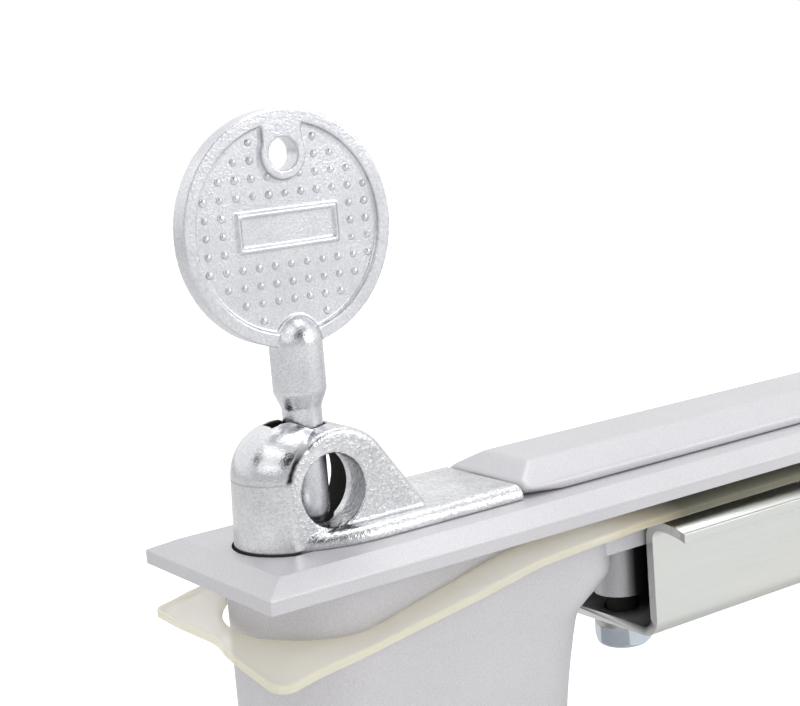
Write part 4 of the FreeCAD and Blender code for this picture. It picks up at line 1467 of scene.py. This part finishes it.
@dataclass
class Gasket:
    """The silicone gasket that sags at the lock end."""

    paintshop: Paintshop
    length: float = 157.0
    half: float = 15.0
    corner: float = 2.0
    thickness: float = 1.0
    hole_left: float = 3.2
    hole_right: float = 152.5
    hole_half: float = 11.5
    hole_corner: float = 1.2
    key_x: float = 15.1
    far_turn: float = 150.5
    across: int = 14
    along_steps: int = 120
    far_end_steps: int = 48
    lock_end_steps: int = 96
    edge_ease: float = 0.09
    wobble: float = 0.12
    wobble_pitch: float = 0.12
    wobble_share: float = 0.4
    wobble_end: float = 45.0
    crease_deg: float = 50.0
    near_edge: Profile = (
        (0.0, 8.3), (6.0, 7.5), (12.0, 6.75), (16.0, 6.1), (21.0, 5.35), (29.0, 4.2), (34.0, 3.3),
        (37.5, 2.7), (42.0, 2.35), (48.0, 2.1), (55.0, 1.75), (66.0, 1.65), (84.0, 1.55),
        (104.0, 0.0), (157.0, 0.0),
    )
    inner_edge: Profile = (
        (0.0, 6.3), (6.0, 6.3), (10.0, 6.25), (14.0, 6.0), (19.0, 5.0), (27.0, 3.25), (35.0, 1.5),
        (42.0, 0.8), (50.0, 0.3), (60.0, 0.1), (104.0, 0.0), (157.0, 0.0),
    )
    far_edge: Profile = (
        (0.0, 5.65), (6.0, 4.75), (14.0, 3.4), (24.0, 1.8), (35.0, 0.6), (45.0, 0.0), (157.0, 0.0),
    )
    fold: Profile = (
        (-15.0, 8.3), (-10.75, 7.75), (-6.3, 7.05), (-3.4, 6.45), (-1.9, 5.8), (-0.6, 5.65),
        (7.7, 5.85), (15.0, 5.65),
    )
    fold_reach: float = 5.5

    def drop(self, x: float, y: float) -> float:
        """Works out how far the sheet's upper face hangs under the plate.

        Args:
            x: Place along the plate, mm.
            y: Place across it, mm.

        Returns:
            The drop in mm.
        """
        near = self.read(self.near_edge, x)
        inner = self.read(self.inner_edge, x)
        far = self.read(self.far_edge, x)
        if y < -self.hole_half:
            share = (y + self.half) / (self.half - self.hole_half)
            hang = near + (inner - near) * share
        else:
            share = min(1.0, (y + self.hole_half) / (2 * self.hole_half))
            hang = inner + (far - inner) * share
        if x >= self.fold_reach:
            return hang
        share = max(0.0, x / self.fold_reach)
        share = share * share * (3 - 2 * share)
        return self.read(self.fold, y) * (1 - share) + hang * share

    @staticmethod
    def read(rows: Profile, x: float) -> float:
        """Reads a profile at a place, with smooth slopes that never overshoot.

        Args:
            rows: The profile.
            x: The place, mm.

        Returns:
            The value there.
        """
        x = max(rows[0][0], min(rows[-1][0], x))
        last = len(rows) - 1
        k = max(n for n in range(last) if rows[n][0] <= x)
        slopes = [(b[1] - a[1]) / (b[0] - a[0]) for a, b in zip(rows, rows[1:])]

        def tangent(n: int) -> float:
            """Works out the slope at a station.

            Args:
                n: The station's number.

            Returns:
                The slope.
            """
            if n in (0, last):
                return slopes[min(n, last - 1)]
            a, b = slopes[n - 1], slopes[n]
            return 0.0 if a * b <= 0 else 2 * a * b / (a + b)

        span = rows[k + 1][0] - rows[k][0]
        t = (x - rows[k][0]) / span
        return (
            (2 * t**3 - 3 * t**2 + 1) * rows[k][1]
            + (t**3 - 2 * t**2 + t) * span * tangent(k)
            + (3 * t**2 - 2 * t**3) * rows[k + 1][1]
            + (t**3 - t**2) * span * tangent(k + 1)
        )

    def loops(self) -> list[tuple[Vector, Vector]]:
        """Walks round the sheet and pairs each point of its outline with one on the hole's edge.

        Returns:
            Pairs of outer and inner points, in mm.
        """
        start, end, steps = self.key_x, self.far_turn, self.along_steps
        pairs: list[tuple[Vector, Vector]] = []
        for n in range(steps):
            x = start + (end - start) * n / steps
            pairs.append((Vector((x, -self.half)), Vector((x, -self.hole_half))))
        outer = self.end_path(end, self.length, -self.half, self.corner, self.far_end_steps)
        inner = self.end_path(
            end, self.hole_right, -self.hole_half, self.hole_corner, self.far_end_steps
        )
        pairs += list(zip(outer[:-1], inner[:-1]))
        for n in range(steps):
            x = end + (start - end) * n / steps
            pairs.append((Vector((x, self.half)), Vector((x, self.hole_half))))
        outer = self.end_path(start, 0.0, self.half, self.corner, self.lock_end_steps)
        reach = self.key_x - self.hole_left
        for n, point in enumerate(outer[:-1]):
            angle = math.pi / 2 + math.pi * n / (len(outer) - 1)
            x = self.key_x + reach * math.cos(angle)
            pairs.append((point, Vector((x, self.hole_half * math.sin(angle)))))
        return pairs

    def end_path(
        self, start: float, end: float, side: float, radius: float, count: int
    ) -> list[Vector]:
        """Samples one of the outline's ends: out along one side, across, and back.

        Args:
            start: Where the end begins along the plate, mm.
            end: How far along the plate it goes, mm.
            side: Place across of the side that comes first, mm.
            radius: Radius of its two corners.
            count: Number of steps.

        Returns:
            The points, count + 1 of them.
        """
        corners = ((start, side), (end, side), (end, -side), (start, -side))
        return self.rounded_path([Vector(corner) for corner in corners], radius, count)

    @staticmethod
    def rounded_path(corners: Sequence[Vector], radius: float, count: int) -> list[Vector]:
        """Samples a path of straight runs with rounded corners at even steps.

        Args:
            corners: The path's corners.
            radius: Radius at each inner corner.
            count: Number of steps.

        Returns:
            The points, count + 1 of them.
        """
        arc_steps, tiny = 12, 1e-9
        dense: list[Vector] = [corners[0].copy()]
        for before, corner, after in zip(corners, corners[1:], corners[2:]):
            a = corner + (before - corner).normalized() * radius
            b = corner + (after - corner).normalized() * radius
            centre = a + b - corner
            for n in range(arc_steps + 1):
                turn = n / arc_steps * math.pi / 2
                out, over = (a - centre) * math.cos(turn), (b - centre) * math.sin(turn)
                dense.append(centre + out + over)
        dense.append(corners[-1].copy())
        lengths = [0.0]
        for a, b in zip(dense, dense[1:]):
            lengths.append(lengths[-1] + (b - a).length)
        points = []
        for n in range(count + 1):
            goal = lengths[-1] * n / count
            k = max(i for i in range(len(dense) - 1) if lengths[i] <= goal + tiny)
            step = lengths[k + 1] - lengths[k]
            share = 0.0 if step < tiny else min(1.0, (goal - lengths[k]) / step)
            points.append(dense[k].lerp(dense[k + 1], share))
        return points

    def set_points(self, work: bmesh.types.BMesh) -> list[list[bmesh.types.BMVert]]:
        """Sets the sheet's points in rings round its section, one ring after the other.

        Args:
            work: The sheet in the making.

        Returns:
            The rings: over the sheet to the hole, and back under it.
        """
        rim = work.verts.layers.float.new("rim")
        rings = []
        for outer, inner in self.loops():
            pitch = self.wobble_pitch
            wobble = noise.noise(Vector((outer.x * pitch, outer.y * pitch, 3.0))) * self.wobble
            upper, lower = [], []
            for n in range(self.across + 1):
                spot = outer.lerp(inner, n / self.across)
                at_edge = n in (0, self.across)
                ease = self.edge_ease if at_edge else 0.0
                calm = 0.0 if spot.x > self.wobble_end else self.wobble_share
                height = -self.drop(spot.x, spot.y)
                for row, lift in ((upper, -ease), (lower, -self.thickness + ease)):
                    place = plate_point(spot.x, spot.y, height + lift + wobble * calm)
                    row.append(work.verts.new(place))
                    row[-1][rim] = float(at_edge)
            rings.append(upper + lower[::-1])
        return rings

    def build(self) -> Piece:
        """Makes the sheet.

        Returns:
            The piece.
        """
        mesh = bpy.data.meshes.new("gasket_sheet")
        with opened(mesh) as work:
            rings = self.set_points(work)
            for ring, following in zip(rings, rings[1:] + rings[:1]):
                for n in range(len(ring)):
                    work.faces.new((ring[n - 1], following[n - 1], following[n], ring[n]))
            bmesh.ops.recalc_face_normals(work, faces=work.faces)
        piece = new_piece("gasket_sheet", mesh)
        mesh.shade_smooth()
        mesh.set_sharp_from_angle(angle=math.radians(self.crease_deg))
        self.paintshop.dress(piece, FinishName.SILICONE)
        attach(piece, "base")
        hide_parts("gasket")
        LOG.info("gasket sheet: %d faces", len(mesh.polygons))
        return piece


# ------------------------------------------------------------------ the studio


@dataclass(frozen=True)
class Lamp:
    """One soft lamp."""

    name: str
    place: Spot
    aim: Spot
    size: float
    watts: float
    mirrored: bool = True


@dataclass
class Studio:
    """The floor, the lamps, the surroundings and the camera."""

    floor_z: float = -0.0385
    floor_reach: float = 12.0
    floor_white: Colour = (0.86, 0.86, 0.86, 1.0)
    floor_rough: float = 0.9
    floor_glow: float = 0.6
    floor_mirrored: float = 0.25
    ambient: float = 0.45
    front: Spot = (-0.56, -0.82, 0.0)
    bright: Colour = (1.15, 1.15, 1.16, 1.0)
    shaded: Colour = (0.66, 0.66, 0.68, 1.0)
    shaded_from_to: tuple[float, float] = (-0.1, 0.55)
    band: Colour = (0.03, 0.03, 0.035, 1.0)
    band_foot: tuple[float, float] = (0.42, 0.48)
    band_top: tuple[float, float] = (0.8, 0.72)
    band_side: tuple[float, float] = (0.1, 0.3)
    lamps: tuple[Lamp, ...] = (
        Lamp("lamp_upper_left", (-0.6, -0.25, 0.55), (-0.03, 0.0, 0.0), size=0.7, watts=1.6),
        Lamp("lamp_top", (0.15, 0.1, 0.75), (0.0, 0.0, 0.0), size=0.5, watts=1.9),
        Lamp("lamp_front_right", (0.4, -0.65, 0.35), (0.0, 0.0, 0.0), size=0.4, watts=2.1),
        Lamp(
            "lamp_front_left",
            (-0.3, -0.6, 0.1),
            (-0.02, 0.0, -0.01),
            size=0.3,
            watts=0.25,
            mirrored=False,
        ),
    )
    camera_place: Spot = (-0.161313, -0.165102, 0.057816)
    azimuth_deg: float = -34.2895
    elevation_deg: float = 9.7142
    roll_deg: float = -4.716
    lens_mm: float = 74.3966
    sensor_mm: float = 36.0
    clip: tuple[float, float] = (0.01, 20.0)

    def build(self) -> None:
        """Makes all of the studio."""
        self.make_floor()
        self.make_surroundings()
        for lamp in self.lamps:
            self.make_lamp(lamp)
        self.make_camera()
        bpy.context.scene.view_settings.view_transform = "Standard"

    def make_floor(self) -> None:
        """Lays the pale floor, which keeps the lock's shadow."""
        mesh = bpy.data.meshes.new("floor")
        reach = self.floor_reach
        corners = [(-reach, -reach), (reach, -reach), (reach, reach), (-reach, reach)]
        mesh.from_pydata([(x, y, self.floor_z) for x, y in corners], [], [(0, 1, 2, 3)])
        floor = new_piece("floor", mesh)
        surface = Surface.start("floor_white")
        bench, matt = surface.bench, surface.shader.outputs["BSDF"]
        surface.shader.inputs["Base Color"].default_value = self.floor_white
        surface.shader.inputs["Roughness"].default_value = self.floor_rough
        glow = bench.add("ShaderNodeEmission", {"Color": WHITE, "Strength": self.floor_glow})
        direct, glossy = bench.seen()
        seen = bench.math("MAXIMUM", direct, bench.product(glossy, self.floor_mirrored))
        both = bench.add("ShaderNodeAddShader", {0: matt, 1: glow.outputs["Emission"]})
        bench.link(bench.choose(seen, matt, both.outputs[0]), surface.out)
        floor.data.materials.append(surface.material)

    def make_surroundings(self) -> None:
        """Makes the white surroundings, with a darker band for the metal to mirror."""
        world = bpy.data.worlds.new("surroundings")
        bpy.context.scene.world = world
        world.use_nodes = True
        world.node_tree.nodes.clear()
        bench = Bench(world.node_tree)
        out = bench.add("ShaderNodeOutputWorld")
        way = bench.add("ShaderNodeTexCoord").outputs["Generated"]
        height = bench.split(way)[2]
        toward = bench.along(way, self.front)
        facing = bench.spread(toward, *self.shaded_from_to)
        shade = bench.mix(facing, self.bright, self.shaded)
        band = bench.product(
            bench.spread(height, *self.band_foot),
            bench.spread(height, *self.band_top),
            bench.spread(toward, *self.band_side),
        )
        shade = bench.mix(band, shade, self.band)
        ambient, white, mirrored = (
            bench.add("ShaderNodeBackground", {"Color": colour, "Strength": strength}).outputs[0]
            for colour, strength in ((WHITE, self.ambient), (WHITE, 1.0), (shade, 1.0))
        )
        direct, glossy = bench.seen()
        indirect = bench.choose(glossy, ambient, mirrored)
        bench.link(bench.choose(direct, indirect, white), out.inputs["Surface"])

    @staticmethod
    def make_lamp(lamp: Lamp) -> None:
        """Hangs one lamp.

        Args:
            lamp: Its place, aim, size and power.
        """
        data = bpy.data.lights.new(lamp.name, "AREA")
        data.shape = "SQUARE"
        data.size = lamp.size
        data.energy = lamp.watts
        made = bpy.data.objects.new(lamp.name, data)
        made.visible_glossy = lamp.mirrored
        made.location = lamp.place
        toward = Vector(lamp.aim) - Vector(lamp.place)
        made.rotation_mode = "QUATERNION"
        made.rotation_quaternion = toward.to_track_quat("-Z", "Y")
        bpy.context.scene.collection.objects.link(made)

    def make_camera(self) -> None:
        """Sets up the camera at the photo's angle."""
        data = bpy.data.cameras.new("photo_camera")
        data.lens = self.lens_mm
        data.sensor_width = self.sensor_mm
        data.clip_start, data.clip_end = self.clip
        made = bpy.data.objects.new("photo_camera", data)
        degrees = (self.azimuth_deg, self.elevation_deg, self.roll_deg)
        az, el, roll = (math.radians(value) for value in degrees)
        back = Vector((math.sin(az) * math.cos(el), -math.cos(az) * math.cos(el), math.sin(el)))
        level = Vector((math.cos(az), math.sin(az), 0.0))
        upward = back.cross(level)
        right = level * math.cos(roll) + upward * math.sin(roll)
        above = upward * math.cos(roll) - level * math.sin(roll)
        turn = Matrix((right, above, back)).transposed()
        made.matrix_world = Matrix.Translation(Vector(self.camera_place)) @ turn.to_4x4()
        bpy.context.scene.collection.objects.link(made)
        bpy.context.scene.camera = made


def main() -> None:
    """Builds the lock's looks in order."""
    logging.basicConfig(level=logging.INFO, format="%(message)s")
    paintshop = Paintshop()
    builders: list[tuple[str, Callable[[], Any]]] = [
        ("studio", Studio().build),
        ("casing", Casing(paintshop).build),
        ("head", Head(paintshop).build),
        ("key", Key(paintshop).build),
        ("handle", Handle(paintshop).build),
        ("clamp", Clamp(paintshop).build),
        ("gasket", Gasket(paintshop).build),
    ]
    for name, build in builders:
        build()
        LOG.info("%s is built", name)
    bpy.context.view_layer.update()


if __name__ == "__main__":
    main()
